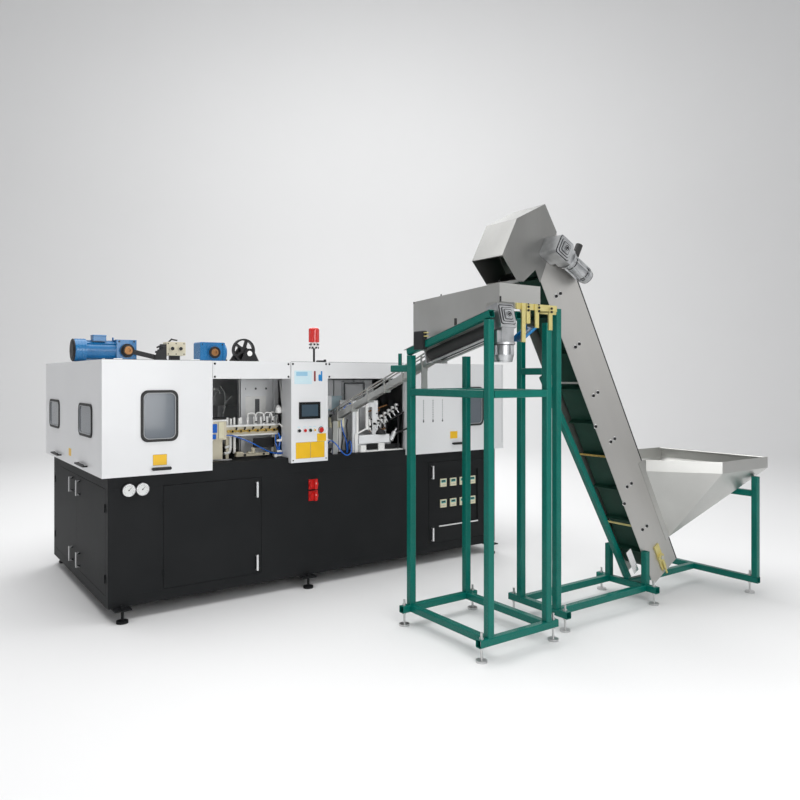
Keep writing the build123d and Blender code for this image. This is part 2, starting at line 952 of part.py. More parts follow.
# Windows: the hole in the sheet, the pane in the hole and the rubber seal round it
def window_plane(centre, low, high, on_front):
    """The plane of a window on the guard's front or left face, facing out."""
    middle = (low + high) / 2
    if on_front:
        return Plane(origin=(left + centre, guard_face, middle), x_dir=(1, 0, 0), z_dir=(0, -1, 0))
    return Plane(origin=(left - guard_left_overhang, front + centre, middle), x_dir=(0, -1, 0),
                 z_dir=(-1, 0, 0))


def window_hole(plane, width, tall):
    with BuildSketch(plane) as hole:
        RectangleRounded(width, tall, window_corner)
    extrude(hole.sketch, amount=-window_pane, mode=Mode.SUBTRACT)


def window_glass(plane, width, tall):
    with BuildSketch(plane) as pane:
        RectangleRounded(width - 2 * window_play, tall - 2 * window_play, window_corner)
    extrude(pane.sketch, amount=-window_pane)


def window_rubber(plane, width, tall):
    with BuildSketch(plane) as seal:
        RectangleRounded(width + window_seal, tall + window_seal, window_corner + window_seal / 2)
        RectangleRounded(width - window_seal, tall - window_seal, window_corner - window_seal / 2,
                         mode=Mode.SUBTRACT)
    extrude(seal.sketch, amount=window_seal_proud)


def pull_handle(centre, along, out, length=pull_length):
    """Adds a level bridge handle of square bar: centre lies on the face."""
    middle = Vector(*centre)
    run = Vector(*along) * (length / 2 - pull_section / 2)
    foot = Vector(*out) * seat_gap
    reach = Vector(*out) * pull_standoff
    grip = Vector(*out) * (pull_standoff - pull_section / 2)
    for end in (middle - run, middle + run):
        flat(tuple(end + foot), tuple(end + reach), pull_section, pull_section)
    tip = Vector(*along) * (length / 2)
    flat(tuple(middle + grip - tip), tuple(middle + grip + tip), pull_section, pull_section)


front_window_tall = front_window_high - front_window_low
end_window_tall = end_window_high - end_window_low
left_window = window_plane(left_window_centre, front_window_low, front_window_high, True)
right_window = window_plane(right_window_centre, front_window_low, front_window_high, True)
end_windows = [window_plane(centre, end_window_low, end_window_high, False)
               for centre in end_window_centres]

with BuildPart() as left_guard_door:
    pan((left - guard_left_overhang, guard_face, guard_bottom),
        (left + left_guard_end, guard_seat, guard_top), (0, 1, 0))
    window_hole(left_window, front_window_width, front_window_tall)
    for place in left_guard_hinges:
        hinge_half(place, moving=True)
left_guard_door.part.label = "left_guard_door"
export_step(left_guard_door.part, "parts/left_guard_door.step")

with BuildPart() as left_guard_window:
    window_glass(left_window, front_window_width, front_window_tall)
left_guard_window.part.label = "left_guard_window"
export_step(left_guard_window.part, "parts/left_guard_window.step")

with BuildPart() as left_guard_fittings:
    window_rubber(left_window, front_window_width, front_window_tall)
    pull_handle((left + left_pull_station, guard_face, pull_height), (1, 0, 0), (0, -1, 0))
left_guard_fittings.part.label = "left_guard_fittings"
export_step(left_guard_fittings.part, "parts/left_guard_fittings.step")

with BuildPart() as right_guard_door:
    pan((left + right_guard_start, guard_face, guard_bottom),
        (right + guard_right_overhang, guard_seat, guard_top), (0, 1, 0))
    window_hole(right_window, front_window_width, front_window_tall)
    for place in right_guard_hinges:
        hinge_half(place, moving=True)
right_guard_door.part.label = "right_guard_door"
export_step(right_guard_door.part, "parts/right_guard_door.step")

with BuildPart() as right_guard_window:
    window_glass(right_window, front_window_width, front_window_tall)
right_guard_window.part.label = "right_guard_window"
export_step(right_guard_window.part, "parts/right_guard_window.step")

with BuildPart() as right_guard_fittings:
    window_rubber(right_window, front_window_width, front_window_tall)
    pull_handle((left + right_pull_station, guard_face, right_pull_height), (1, 0, 0), (0, -1, 0))
right_guard_fittings.part.label = "right_guard_fittings"
export_step(right_guard_fittings.part, "parts/right_guard_fittings.step")

with BuildPart() as end_guard_door:
    pan((left - guard_left_overhang, front, guard_bottom),
        (left - door_gap, back - door_gap, guard_top), (1, 0, 0))
    for plane in end_windows:
        window_hole(plane, end_window_width, end_window_tall)
    for place in end_guard_hinges:
        hinge_half(place, moving=True)
end_guard_door.part.label = "end_guard_door"
export_step(end_guard_door.part, "parts/end_guard_door.step")

with BuildPart() as end_guard_windows:
    for plane in end_windows:
        window_glass(plane, end_window_width, end_window_tall)
end_guard_windows.part.label = "end_guard_windows"
export_step(end_guard_windows.part, "parts/end_guard_windows.step")

with BuildPart() as end_guard_fittings:
    for plane in end_windows:
        window_rubber(plane, end_window_width, end_window_tall)
    for station in end_pull_stations:
        pull_handle((left - guard_left_overhang, front + station, pull_height), (0, 1, 0),
                    (-1, 0, 0), end_pull_length)
end_guard_fittings.part.label = "end_guard_fittings"
export_step(end_guard_fittings.part, "parts/end_guard_fittings.step")

# Console: a folded housing that hangs over the cabinet's front edge between the bays
console_left = left + console_start
console_right = left + console_end
console_face = front - console_overhang
console_back = console_face + console_depth
button_stations = (black_button_station, red_button_station, selector_station, emergency_station)

with BuildPart() as console_housing:
    block((console_left, console_face, console_bottom), (console_right, front - seat_gap, guard_top))
    block((console_left, front - 2 * seat_gap, base_top + seat_gap),
          (console_right, console_back, guard_rail - guard_side))
    for station in button_stations:
        bar((left + station, console_face, button_height),
            (left + station, console_face - button_ring, button_height), button_ring_radius)
        bar((left + station, console_face - button_ring, button_height),
            (left + station, console_face + button_stem_length + button_travel, button_height),
            button_stem_radius + running_fit, mode=Mode.SUBTRACT)
    x = left + lamp_station
    bar((x, console_face, button_height), (x, console_face - lamp_proud, button_height),
        button_cap_radius)
console_housing.part.label = "console_housing"
export_step(console_housing.part, "parts/console_housing.step")

with BuildPart() as touch_screen:
    x = left + screen_station
    block((x - screen_width / 2, console_face - screen_proud, screen_height - screen_tall / 2),
          (x + screen_width / 2, console_face - seat_gap, screen_height + screen_tall / 2))
    block((x - screen_width / 2 + screen_frame, console_face - screen_proud,
           screen_height - screen_tall / 2 + screen_frame),
          (x + screen_width / 2 - screen_frame, console_face - screen_proud + screen_recess,
           screen_height + screen_tall / 2 - screen_frame), mode=Mode.SUBTRACT)
touch_screen.part.label = "touch_screen"
export_step(touch_screen.part, "parts/touch_screen.step")

button_seat = console_face - button_ring - button_travel - seat_gap


def push_button(station, radius):
    """Adds a round cap and the stem that slides in the housing."""
    x = left + station
    bar((x, button_seat, button_height), (x, button_seat - button_proud, button_height), radius)
    bar((x, button_seat, button_height), (x, console_face + button_stem_length - button_travel,
        button_height), button_stem_radius)


with BuildPart() as black_button:
    push_button(black_button_station, button_cap_radius)
black_button.part.label = "black_button"
export_step(black_button.part, "parts/black_button.step")

with BuildPart() as red_button:
    push_button(red_button_station, button_cap_radius)
red_button.part.label = "red_button"
export_step(red_button.part, "parts/red_button.step")

with BuildPart() as emergency_button:
    push_button(emergency_station, emergency_radius)
    fillet(emergency_button.edges().filter_by(GeomType.CIRCLE).sort_by(Axis.Y)[0],
           radius=button_proud / 2)
emergency_button.part.label = "emergency_button"
export_step(emergency_button.part, "parts/emergency_button.step")

with BuildPart() as selector_switch:
    x = left + selector_station
    turn_face = console_face - button_ring - seat_gap
    bar((x, turn_face, button_height), (x, turn_face - button_proud, button_height),
        button_cap_radius)
    bar((x, turn_face, button_height), (x, console_face + button_stem_length, button_height),
        button_stem_radius)
    block((x - selector_grip_width / 2, turn_face - selector_grip_depth,
           button_height - button_cap_radius),
          (x + selector_grip_width / 2, turn_face, button_height + button_cap_radius))
selector_switch.part.label = "selector_switch"
export_step(selector_switch.part, "parts/selector_switch.step")

# Beacon: pole, base and lamp as one turned outline
with BuildPart() as beacon_light:
    x = left + beacon_station
    y = front + beacon_back
    bar((x, y, guard_top), (x, y, guard_top + beacon_pole_height), beacon_pole_radius)
    base_z = guard_top + beacon_pole_height
    bar((x, y, base_z), (x, y, base_z + beacon_base_height), beacon_base_radius)
    lamp_z = base_z + beacon_base_height
    bar((x, y, lamp_z), (x, y, lamp_z + beacon_lamp_height), beacon_lamp_radius)
    fillet(beacon_light.edges().filter_by(GeomType.CIRCLE).sort_by(Axis.Z)[-1],
           radius=beacon_lamp_radius * beacon_crown_share)
beacon_light.part.label = "beacon_light"
export_step(beacon_light.part, "parts/beacon_light.step")

# Roof drives
roof_y = front + roof_line_back
axis_z = guard_top + motor_axis_rise
case_low = axis_z - gearcase_tall / 2


def finned_motor(start, end, radius):
    """Adds a motor barrel with cooling fins along it, from start to end."""
    bar(start, end, radius - fin_height)
    with BuildSketch(facing(start, end)) as ribs:
        with PolarLocations(radius - fin_height, fin_count):
            Rectangle(2 * fin_height, fin_thickness)
    extrude(ribs.sketch, amount=distance(start, end))


def stepped_cover(place, size):
    """Adds the square steps and the round boss of a gear case's cover on a plane."""
    for share, rise in cover_steps:
        with BuildSketch(place) as step:
            RectangleRounded(size * share, size * share, size * share / 8)
        extrude(step.sketch, amount=rise)
    with BuildSketch(place) as boss:
        Circle(size * cover_boss_share)
    extrude(boss.sketch, amount=cover_boss_rise)


def flanged_motor(start, end, radius):
    """Adds a motor from start to end: a flange, a finned barrel and a tapered end cowl."""
    way = (Vector(*end) - Vector(*start)).normalized()
    flange_end = Vector(*start) + way * motor_flange
    cowl_start = Vector(*end) - way * motor_cowl
    bar(start, tuple(flange_end), radius + motor_flange_rim)
    finned_motor(tuple(flange_end), tuple(cowl_start), radius)
    with BuildSketch(facing(tuple(cowl_start), end)) as cowl:
        Circle(radius)
    extrude(cowl.sketch, amount=motor_cowl, taper=motor_cowl_taper)


with BuildPart() as left_gear_motor:
    start = left + left_motor_start
    barrel = start + cowl_length
    case = barrel + motor_length
    bar((start, roof_y, axis_z), (barrel, roof_y, axis_z), cowl_radius)
    fillet(left_gear_motor.edges().filter_by(GeomType.CIRCLE).sort_by(Axis.X)[0],
           radius=cowl_length / 4)
    finned_motor((barrel - 1, roof_y, axis_z), (case + 1, roof_y, axis_z), motor_radius)
    block((case, roof_y - gearcase_width / 2, case_low),
          (case + gearcase_length, roof_y + gearcase_width / 2, case_low + gearcase_tall))
    block((case, roof_y - gearcase_width / 2, guard_top),
          (case + gearcase_length, roof_y + gearcase_width / 2, case_low))
    hub_x = case + gearcase_length / 2
    hub_face = roof_y - gearcase_width / 2 - hub_length
    bar((hub_x, roof_y - gearcase_width / 2, axis_z), (hub_x, hub_face, axis_z), hub_radius)
    flat((hub_x, hub_face - arm_thickness / 2, axis_z),
         (hub_x + arm_reach, hub_face - arm_thickness / 2, axis_z - arm_drop),
         arm_thickness, arm_width)
    bar((hub_x, hub_face, axis_z), (hub_x, hub_face - arm_thickness, axis_z), arm_width)
    bracket_x = left + bracket_start
    slab(Plane(origin=(bracket_x, hub_face - arm_thickness, guard_top), x_dir=(1, 0, 0),
               z_dir=(0, -1, 0)),
         ((0, 0), (bracket_width, 0), (bracket_width * bracket_shares[1], bracket_tall),
          (bracket_width * bracket_shares[0], bracket_tall)), bracket_thickness)
    bar((hub_x + arm_reach, hub_face, axis_z - arm_drop),
        (hub_x + arm_reach, hub_face - arm_thickness - bracket_thickness, axis_z - arm_drop),
        hub_bore)
left_gear_motor.part.label = "left_gear_motor"
export_step(left_gear_motor.part, "parts/left_gear_motor.step")

with BuildPart() as roof_valve_block:
    start = left + valve_start
    low = guard_top + valve_pedestal
    block((start, roof_y - valve_width / 2, low),
          (start + valve_length, roof_y + valve_width / 2, low + valve_tall))
    chamfer(roof_valve_block.edges().filter_by(Axis.Y), length=valve_chamfer)
    block((start + valve_length / 4, roof_y - valve_width / 4, guard_top),
          (start + valve_length * 3 / 4, roof_y + valve_width / 4, low))
    for share in valve_port_shares:
        x = start + valve_length * share
        bar((x, roof_y - valve_width / 2, low + valve_tall / 2),
            (x, roof_y - valve_width / 2 - valve_port_depth, low + valve_tall / 2),
            valve_port_radius)
roof_valve_block.part.label = "roof_valve_block"
export_step(roof_valve_block.part, "parts/roof_valve_block.step")

pulley_x = left + pulley_station
pulley_near = roof_y - pulley_width / 2
bearing_near = roof_y + pulley_width / 2 + door_gap
pulley_z = guard_top + pulley_rise

with BuildPart() as right_gear_motor:
    start = left + right_motor_start
    end = start + right_case_length
    block((start, roof_y - gearcase_width / 2, guard_top),
          (end, roof_y + gearcase_width / 2, case_low + gearcase_tall))
    chamfer(right_gear_motor.edges().filter_by(Axis.Y), length=right_case_chamfer)
    hub_x = start + right_case_length * right_hub_share
    bar((hub_x, roof_y - gearcase_width / 2, axis_z),
        (hub_x, roof_y - gearcase_width / 2 - hub_length, axis_z), hub_radius)
    bar((end, roof_y, axis_z), (end + fin_height * 2, roof_y, axis_z), motor_radius)
    slab(Plane(origin=(pulley_x, bearing_near, guard_top), x_dir=(-1, 0, 0), z_dir=(0, 1, 0)),
         ((-bearing_half_width, 0), (bearing_half_width, 0), (pulley_hub_radius, pulley_rise
          + pulley_hub_radius), (-pulley_hub_radius, pulley_rise + pulley_hub_radius)),
         bearing_plate)
    bar((pulley_x, bearing_near, pulley_z), (pulley_x, bearing_near + bearing_plate, pulley_z),
        pulley_shaft_radius + running_fit, mode=Mode.SUBTRACT)
right_gear_motor.part.label = "right_gear_motor"
export_step(right_gear_motor.part, "parts/right_gear_motor.step")

with BuildPart() as roof_pulley:
    with BuildSketch(Plane(origin=(pulley_x, pulley_near, pulley_z), x_dir=(1, 0, 0),
                           z_dir=(0, -1, 0))) as wheel:
        Circle(pulley_radius)
        Circle(pulley_radius - pulley_rim, mode=Mode.SUBTRACT)
        Circle(pulley_hub_radius)
        with PolarLocations(pulley_radius / 2, pulley_spokes):
            Rectangle(pulley_radius - pulley_rim / 2, spoke_width)
        Circle(pulley_shaft_radius, mode=Mode.SUBTRACT)
    extrude(wheel.sketch, amount=-pulley_width)
    bar((pulley_x, pulley_near, pulley_z), (pulley_x, bearing_near + bearing_plate, pulley_z),
        pulley_shaft_radius)
roof_pulley.part.label = "roof_pulley"
export_step(roof_pulley.part, "parts/roof_pulley.step")

# Blow manifold with its outlets, and the valve stack beside it
with BuildPart() as blow_manifold:
    low = (left + manifold_start, front + manifold_back, manifold_low)
    high = (left + manifold_end, front + manifold_back + manifold_depth,
            manifold_low + manifold_tall)
    block(low, high)
    pitch = (manifold_end - manifold_start) / outlet_count
    y = front + manifold_back + manifold_depth / 2
    for outlet in range(outlet_count):
        x = left + manifold_start + (outlet + 0.5) * pitch
        bar((x, y, high[2]), (x, y, high[2] + outlet_height), outlet_radius)
        bar((x, y, high[2]), (x, y, high[2] + outlet_collar), outlet_radius * outlet_collar_share)
        bar((x, low[1], manifold_low + manifold_tall / 2),
            (x, low[1] - manifold_lug, manifold_low + manifold_tall / 2), outlet_radius * outlet_lug_share)
    for x in (low[0] + leg_size, high[0] - leg_size):
        block((x - leg_size / 2, y - leg_size / 2, base_top),
              (x + leg_size / 2, y + leg_size / 2, manifold_low))
    stack = (left + valve_stack_start, front + valve_stack_back, valve_stack_low)
    block(stack, (stack[0] + valve_stack_width, stack[1] + valve_stack_depth,
                  stack[2] + valve_stack_tall))
    chamfer(blow_manifold.solids().sort_by(Axis.X)[0].edges().filter_by(Axis.Y),
            length=valve_stack_chamfer)
    block((stack[0] + leg_size, stack[1] + leg_size, base_top),
          (stack[0] + valve_stack_width - leg_size, stack[1] + valve_stack_depth - leg_size,
           stack[2]))
blow_manifold.part.label = "blow_manifold"
export_step(blow_manifold.part, "parts/blow_manifold.step")

# Mould clamp: front platen with its columns, window and slot, back platen, ties, mould halves
with BuildPart() as mould_clamp:
    start = left + platen_start
    middle = start + platen_width / 2
    near = front + platen_back
    far = front + back_platen_back
    block((start, near, base_top), (start + platen_width, near + platen_thickness, platen_top))
    block((middle - platen_window_width / 2, near, platen_window_low),
          (middle + platen_window_width / 2, near + platen_recess,
           platen_window_low + platen_window_tall), mode=Mode.SUBTRACT)
    block((middle - platen_slot_width / 2, near, platen_window_low + platen_slot_width),
          (middle + platen_slot_width / 2, near + platen_thickness,
           platen_window_low + platen_slot_width + platen_slot_tall), mode=Mode.SUBTRACT)
    block((start, far, base_top), (start + platen_width, far + platen_thickness, platen_top))
    for x in (start, start + platen_width - clamp_column):
        block((x, near - clamp_column, base_top), (x + clamp_column, near, platen_top))
    for x in (start + tie_inset, start + platen_width - tie_inset):
        for z in tie_heights:
            bar((x, near + platen_thickness + weld_gap, z), (x, far - weld_gap, z), tie_radius)
    for y in (near + platen_thickness + weld_gap, far - weld_gap - mould_depth):
        block((middle - mould_width / 2, y, mould_low),
              (middle + mould_width / 2, y + mould_depth, mould_low + mould_tall))
mould_clamp.part.label = "mould_clamp"
export_step(mould_clamp.part, "parts/mould_clamp.step")

# Infeed: two cut-out cheek plates, a beam with spindles, a lamp box and the bank behind them
with BuildPart() as infeed_frame:
    start = left + infeed_start
    end = start + infeed_width
    near = front + infeed_back
    for y in (near, near + infeed_depth):
        block((start, y, base_top), (end, y + infeed_plate, infeed_top))
        block((start + (infeed_width - infeed_cut_width) / 2, y, infeed_cut_low),
              (end - (infeed_width - infeed_cut_width) / 2, y + infeed_plate, infeed_cut_high),
              mode=Mode.SUBTRACT)
    beam_near = near + infeed_depth / 2
    beam_start = end + weld_gap
    block((beam_start, beam_near, infeed_beam_low),
          (left + infeed_beam_end, beam_near + infeed_beam_depth, infeed_beam_low + infeed_beam_tall))
    block((beam_start + leg_size, beam_near, base_top),
          (left + infeed_beam_end - leg_size, beam_near + infeed_beam_depth, infeed_beam_low))
    for spindle in range(spindle_count):
        x = beam_start + (spindle + spindle_first) * spindle_pitch
        y = beam_near + infeed_beam_depth / 2
        top = infeed_beam_low + infeed_beam_tall
        bar((x, y, top), (x, y, top + spindle_height), spindle_radius)
        bar((x, y, top + spindle_height), (x, y, top + spindle_height + spindle_base),
            spindle_radius / 2)
    box_near = front + oven_box_back
    block((left + oven_box_start, box_near, oven_box_low),
          (left + oven_box_start + oven_box_width, box_near + oven_box_depth,
           oven_box_low + oven_box_tall))
    block((left + oven_box_start + leg_size, box_near + leg_size, base_top),
          (left + oven_box_start + oven_box_width - leg_size, box_near + oven_box_depth - leg_size,
           oven_box_low))
    bank_near = front + bank_back
    bank_end = left + bank_start + (bank_panel_count - 1) * bank_panel_pitch + bank_panel_width
    block((left + bank_start, bank_near, base_top),
          (bank_end, bank_near + bank_panel_depth + bank_base_tall, base_top + bank_base_tall))
    for panel in range(bank_panel_count):
        x = left + bank_start + panel * bank_panel_pitch
        block((x, bank_near, base_top), (x + bank_panel_width, bank_near + bank_panel_depth,
                                         bank_top))
    pane = (left + bank_pane_start, bank_near - bank_pane_depth, bank_pane_low)
    block(pane, (pane[0] + bank_pane_width, bank_near, bank_pane_low + bank_pane_tall))
    block((pane[0] + bank_pane_frame, pane[1], bank_pane_low + bank_pane_frame),
          (pane[0] + bank_pane_width - bank_pane_frame, pane[1] + bank_pane_frame / 2,
           bank_pane_low + bank_pane_tall - bank_pane_frame), mode=Mode.SUBTRACT)
infeed_frame.part.label = "infeed_frame"
export_step(infeed_frame.part, "parts/infeed_frame.step")

# Blue air hoses
with BuildPart() as air_hoses:
    for route in (hose_left_route, hose_right_route, hose_loop_route):
        tube_on_route(route, hose_radius)
air_hoses.part.label = "air_hoses"
export_step(air_hoses.part, "parts/air_hoses.step")

# Sorter stand: two rows of tube, four posts, a ring of tubes and two sloped rails
half_tube = stand_tube / 2
tube_seat = half_tube + weld_gap
stand_low = stand_tube_height
stand_low_top = stand_low + half_tube
post_left = left + sorter_left
post_right = left + sorter_right
row_near = front - sorter_near
row_far = front - sorter_far
steep = radians(slope)
fall = sin(steep) / cos(steep)
rail_half_tall = rail_size / 2 / cos(steep)
rail_near = row_near - half_tube
rail_far = row_far + half_tube


def rail_height(y):
    """Height of the sloped rails' centre line at a point y."""
    over_post = near_post_top + weld_gap + rail_half_tall
    return over_post + fall * (row_near + half_tube - y)


far_post_top = rail_height(rail_far) - rail_half_tall - weld_gap
rail_inner = post_left + rail_size / 2 + seat_gap
roller_left = rail_inner + roller_margin + roller_radius
nip = roller_left + roller_radius + roller_nip / 2
roller_right = nip + roller_nip / 2 + roller_radius
right_rail = 2 * nip - post_left


def roller_height(y):
    """Height of the rollers' centre line at a point y."""
    return rail_height(y) - rail_half_tall - roller_radius


with BuildPart() as sorter_stand:
    for y in (row_near, row_far):
        square_tube((post_left - sorter_tube_reach, y, stand_low),
                    (post_right + sorter_tube_reach, y, stand_low), stand_tube)
        square_tube((post_left + tube_seat, y, sorter_ring_height),
                    (post_right - tube_seat, y, sorter_ring_height), stand_tube)
    for x in (post_left, post_right):
        for z in (stand_low, sorter_ring_height):
            square_tube((x, row_near + tube_seat, z), (x, row_far - tube_seat, z), stand_tube)
        for y, top in ((row_near, near_post_top), (row_far, far_post_top)):
            square_tube((x, y, stand_low_top + weld_gap), (x, y, top), stand_tube)
    for x in (post_left, right_rail):
        square_tube((x, rail_near, rail_height(rail_near)), (x, rail_far, rail_height(rail_far)),
                    rail_size)
    side_arm_height = far_post_top - side_arm_drop
    square_tube((post_left, row_far + tube_seat, side_arm_height),
                (post_left, row_far + tube_seat + side_arm_length, side_arm_height), stand_tube)
    peg_y = row_far + half_tube + side_peg_back
    bar((post_left, peg_y, side_arm_height + tube_seat),
        (post_left, peg_y, side_arm_height + tube_seat + side_peg_tall), side_peg_radius)
    for x in (post_left - sorter_foot_reach, post_right + sorter_foot_reach):
        for y in (row_near, row_far):
            bar((x, y, stand_low - stand_tube), (x, y, stand_low + stand_tube),
                stand_stem_radius + stem_play, mode=Mode.SUBTRACT)
sorter_stand.part.label = "sorter_stand"
export_step(sorter_stand.part, "parts/sorter_stand.step")


# Roller carrier: two end plates square to the rollers and two round rods under them
def down_slope(x, ahead, above=0):
    """A point on the rollers' line a distance ahead of the front, raised square to it."""
    y = front - ahead
    return (x, y + above * sin(steep), roller_height(y) + above * cos(steep))


def across_slope(x, ahead):
    """The plane square to the rollers' line: x level, y up, normal down the slope."""
    return Plane(origin=down_slope(x, ahead), x_dir=(-1, 0, 0), z_dir=(0, cos(steep), -sin(steep)))


plate_run = bearing_plate_thickness * cos(steep)
plate_rise = rail_size + roller_radius * cos(steep) - seat_gap
plate_tall = bearing_plate_drop + plate_rise
roller_plates = (roller_near + running_fit * 4 + plate_run, roller_far - running_fit * 4)
rail_gap = right_rail - post_left - rail_size - 2 * seat_gap

with BuildPart() as roller_carrier:
    for ahead in roller_plates:
        with BuildSketch(across_slope(nip, ahead)) as end_plate:
            with Locations((0, plate_tall / 2 - bearing_plate_drop)):
                Rectangle(rail_gap, plate_tall)
            with Locations((nip - roller_left, 0), (nip - roller_right, 0)):
                Circle(roller_shaft_radius + running_fit, mode=Mode.SUBTRACT)
        extrude(end_plate.sketch, amount=bearing_plate_thickness)
    for x in (roller_left, roller_right):
        bar(down_slope(x, roller_plates[0], -under_rail_drop),
            down_slope(x, roller_plates[1], -under_rail_drop), under_rail_radius)
roller_carrier.part.label = "roller_carrier"
export_step(roller_carrier.part, "parts/roller_carrier.step")


def roller(x):
    """Adds a roller and the shaft that runs through both end plates."""
    bar(down_slope(x, roller_near), down_slope(x, roller_far), roller_radius)
    bar(down_slope(x, roller_plates[0] + shaft_stub * cos(steep)),
        down_slope(x, roller_plates[1] - plate_run), roller_shaft_radius)


with BuildPart() as sorter_roller_left:
    roller(roller_left)
sorter_roller_left.part.label = "sorter_roller_left"
export_step(sorter_roller_left.part, "parts/sorter_roller_left.step")

with BuildPart() as sorter_roller_right:
    roller(roller_right)
sorter_roller_right.part.label = "sorter_roller_right"
export_step(sorter_roller_right.part, "parts/sorter_roller_right.step")

# Sorter gear motor: a case with both shafts in it, its stepped cover and a motor hanging down
with BuildPart() as sorter_gear_motor:
    case_face = roller_plates[0] + seat_gap
    with BuildSketch(across_slope(nip, case_face)) as case:
        with Locations((0, sorter_box_rise)):
            Rectangle(sorter_box_width, sorter_box_tall)
    extrude(case.sketch, amount=-sorter_box_depth)
    fillet(sorter_gear_motor.edges().filter_by(Axis.X), radius=sorter_box_rounding)
    near_face = Vector(*down_slope(nip, case_face + sorter_box_depth * cos(steep),
                                   sorter_box_rise))
    stepped_cover(Plane(origin=near_face, x_dir=(1, 0, 0), z_dir=(0, -cos(steep), sin(steep))),
                  sorter_box_width)
    under = Vector(*down_slope(nip, case_face + sorter_box_depth / 2 * cos(steep),
                               sorter_box_rise - sorter_box_tall / 2))
    low = under.Z - sorter_adaptor_tall
    half_adaptor = sorter_adaptor_size / 2
    block((nip - half_adaptor, under.Y - sorter_adaptor_depth / 2, low),
          (nip + half_adaptor, under.Y + sorter_adaptor_depth / 2,
           under.Z + sorter_box_rounding * 2))
    block((nip - half_adaptor - terminal_reach, under.Y - terminal_size / 2, low),
          (nip, under.Y + terminal_size / 2, low + terminal_size))
    flanged_motor((nip, under.Y, low), (nip, under.Y, low - sorter_motor_length),
                  sorter_motor_radius)
    for x in (roller_left, roller_right):
        bar(down_slope(x, case_face), down_slope(x, case_face + sorter_box_depth),
            roller_shaft_radius + running_fit, mode=Mode.SUBTRACT)
sorter_gear_motor.part.label = "sorter_gear_motor"
export_step(sorter_gear_motor.part, "parts/sorter_gear_motor.step")

# Trough over the rollers: its lips rest on both rails and its open floor follows their slope
rest_rise = rail_half_tall + seat_gap


def slope_slab(x, width, rise, tall, mode=Mode.ADD):
    """Adds a plate along the rails: rise and tall are upright distances from their centre."""
    start = front - trough_far
    outline = [(rail_near, rail_height(rail_near) + rise), (start, rail_height(start) + rise),
               (start, rail_height(start) + rise + tall),
               (rail_near, rail_height(rail_near) + rise + tall)]
    slab(Plane(origin=(x, 0, 0), x_dir=(0, 1, 0), z_dir=(1, 0, 0)), outline, width, mode)


with BuildPart() as sorter_trough:
    far = front - trough_far
    run_length = far - rail_near
    profile_plane = Plane(origin=(left, far, 0), x_dir=(1, 0, 0), z_dir=(0, -1, 0))
    floor = sorter_ring_height
    notch_far = down_slope(nip, roller_plates[0], sorter_box_rise + sorter_box_tall / 2)[1]
    notch_half = sorter_box_width / 2 + trough_notch_room
    slab(profile_plane, ((trough_left, floor), (trough_throat, floor), (trough_throat, trough_knee),
                         (trough_right, trough_right_low), (trough_right, trough_near_top),
                         (trough_left, trough_near_top)), run_length)
    slab(profile_plane.offset(trough_sheet),
         ((trough_left + trough_sheet, 0), (trough_throat - trough_sheet, 0),
          (trough_throat - trough_sheet, trough_knee + trough_sheet),
          (trough_right - trough_sheet, trough_right_low + trough_sheet),
          (trough_right - trough_sheet, 2 * trough_near_top),
          (trough_left + trough_sheet, 2 * trough_near_top)),
         run_length - 2 * trough_sheet, mode=Mode.SUBTRACT)
    slope_slab(left + trough_left - 1, trough_right - trough_left + 2, rest_rise - trough_near_top,
               trough_near_top, mode=Mode.SUBTRACT)
    slab(Plane(origin=(left + trough_left - 1, 0, 0), x_dir=(0, 1, 0), z_dir=(1, 0, 0)),
         ((rail_near - 1, trough_near_top), (far + 1, trough_far_top),
          (far + 1, trough_near_top + 1), (rail_near - 1, trough_near_top + 1)),
         trough_right - trough_left + 2, mode=Mode.SUBTRACT)
    slope_slab(post_left - rail_size / 2, left + trough_left + trough_sheet - post_left
               + rail_size / 2, rest_rise, trough_sheet)
    slope_slab(left + trough_throat - trough_sheet, right_rail + rail_size / 2 - left
               - trough_throat + trough_sheet, rest_rise, trough_sheet)
    block((nip - notch_half, rail_near - 1, floor - 1),
          (nip + notch_half, notch_far + trough_notch_room, trough_notch_top),
          mode=Mode.SUBTRACT)
sorter_trough.part.label = "sorter_trough"
export_step(sorter_trough.part, "parts/sorter_trough.step")

# Plated bar on the near posts with its hangers, and the small side tray they carry
zinc_back = rail_near - seat_gap
with BuildPart() as zinc_brackets:
    block((left + zinc_start, zinc_back - zinc_bar_depth, zinc_bar_height - zinc_bar_tall / 2),
          (left + zinc_end, zinc_back, zinc_bar_height + zinc_bar_tall / 2))
    block((post_right - zinc_hanger_width / 2, zinc_back - zinc_bar_depth, zinc_strap_low),
          (post_right + zinc_hanger_width / 2, zinc_back, zinc_bar_height + zinc_bar_tall / 2))
    leg_y = front - zinc_leg_ahead
    leg_low = zinc_bar_height - zinc_bar_tall / 2
    leg_high = zinc_bar_height + zinc_bar_tall / 2
    block((left + zinc_end - zinc_bar_depth, zinc_back, leg_low),
          (left + zinc_end, leg_y, leg_high))
    block((left + zinc_end - zinc_bar_depth, leg_y - zinc_bar_depth, leg_low),
          (left + elevator_post_station - half_tube - seat_gap, leg_y, leg_high))
    for station, low in zinc_hangers:
        block((left + station - zinc_hanger_width / 2, zinc_back - 2 * zinc_bar_depth, low),
              (left + station + zinc_hanger_width / 2, zinc_back - zinc_bar_depth,
               zinc_bar_height + zinc_bar_tall / 2))
zinc_brackets.part.label = "zinc_brackets"
export_step(zinc_brackets.part, "parts/zinc_brackets.step")

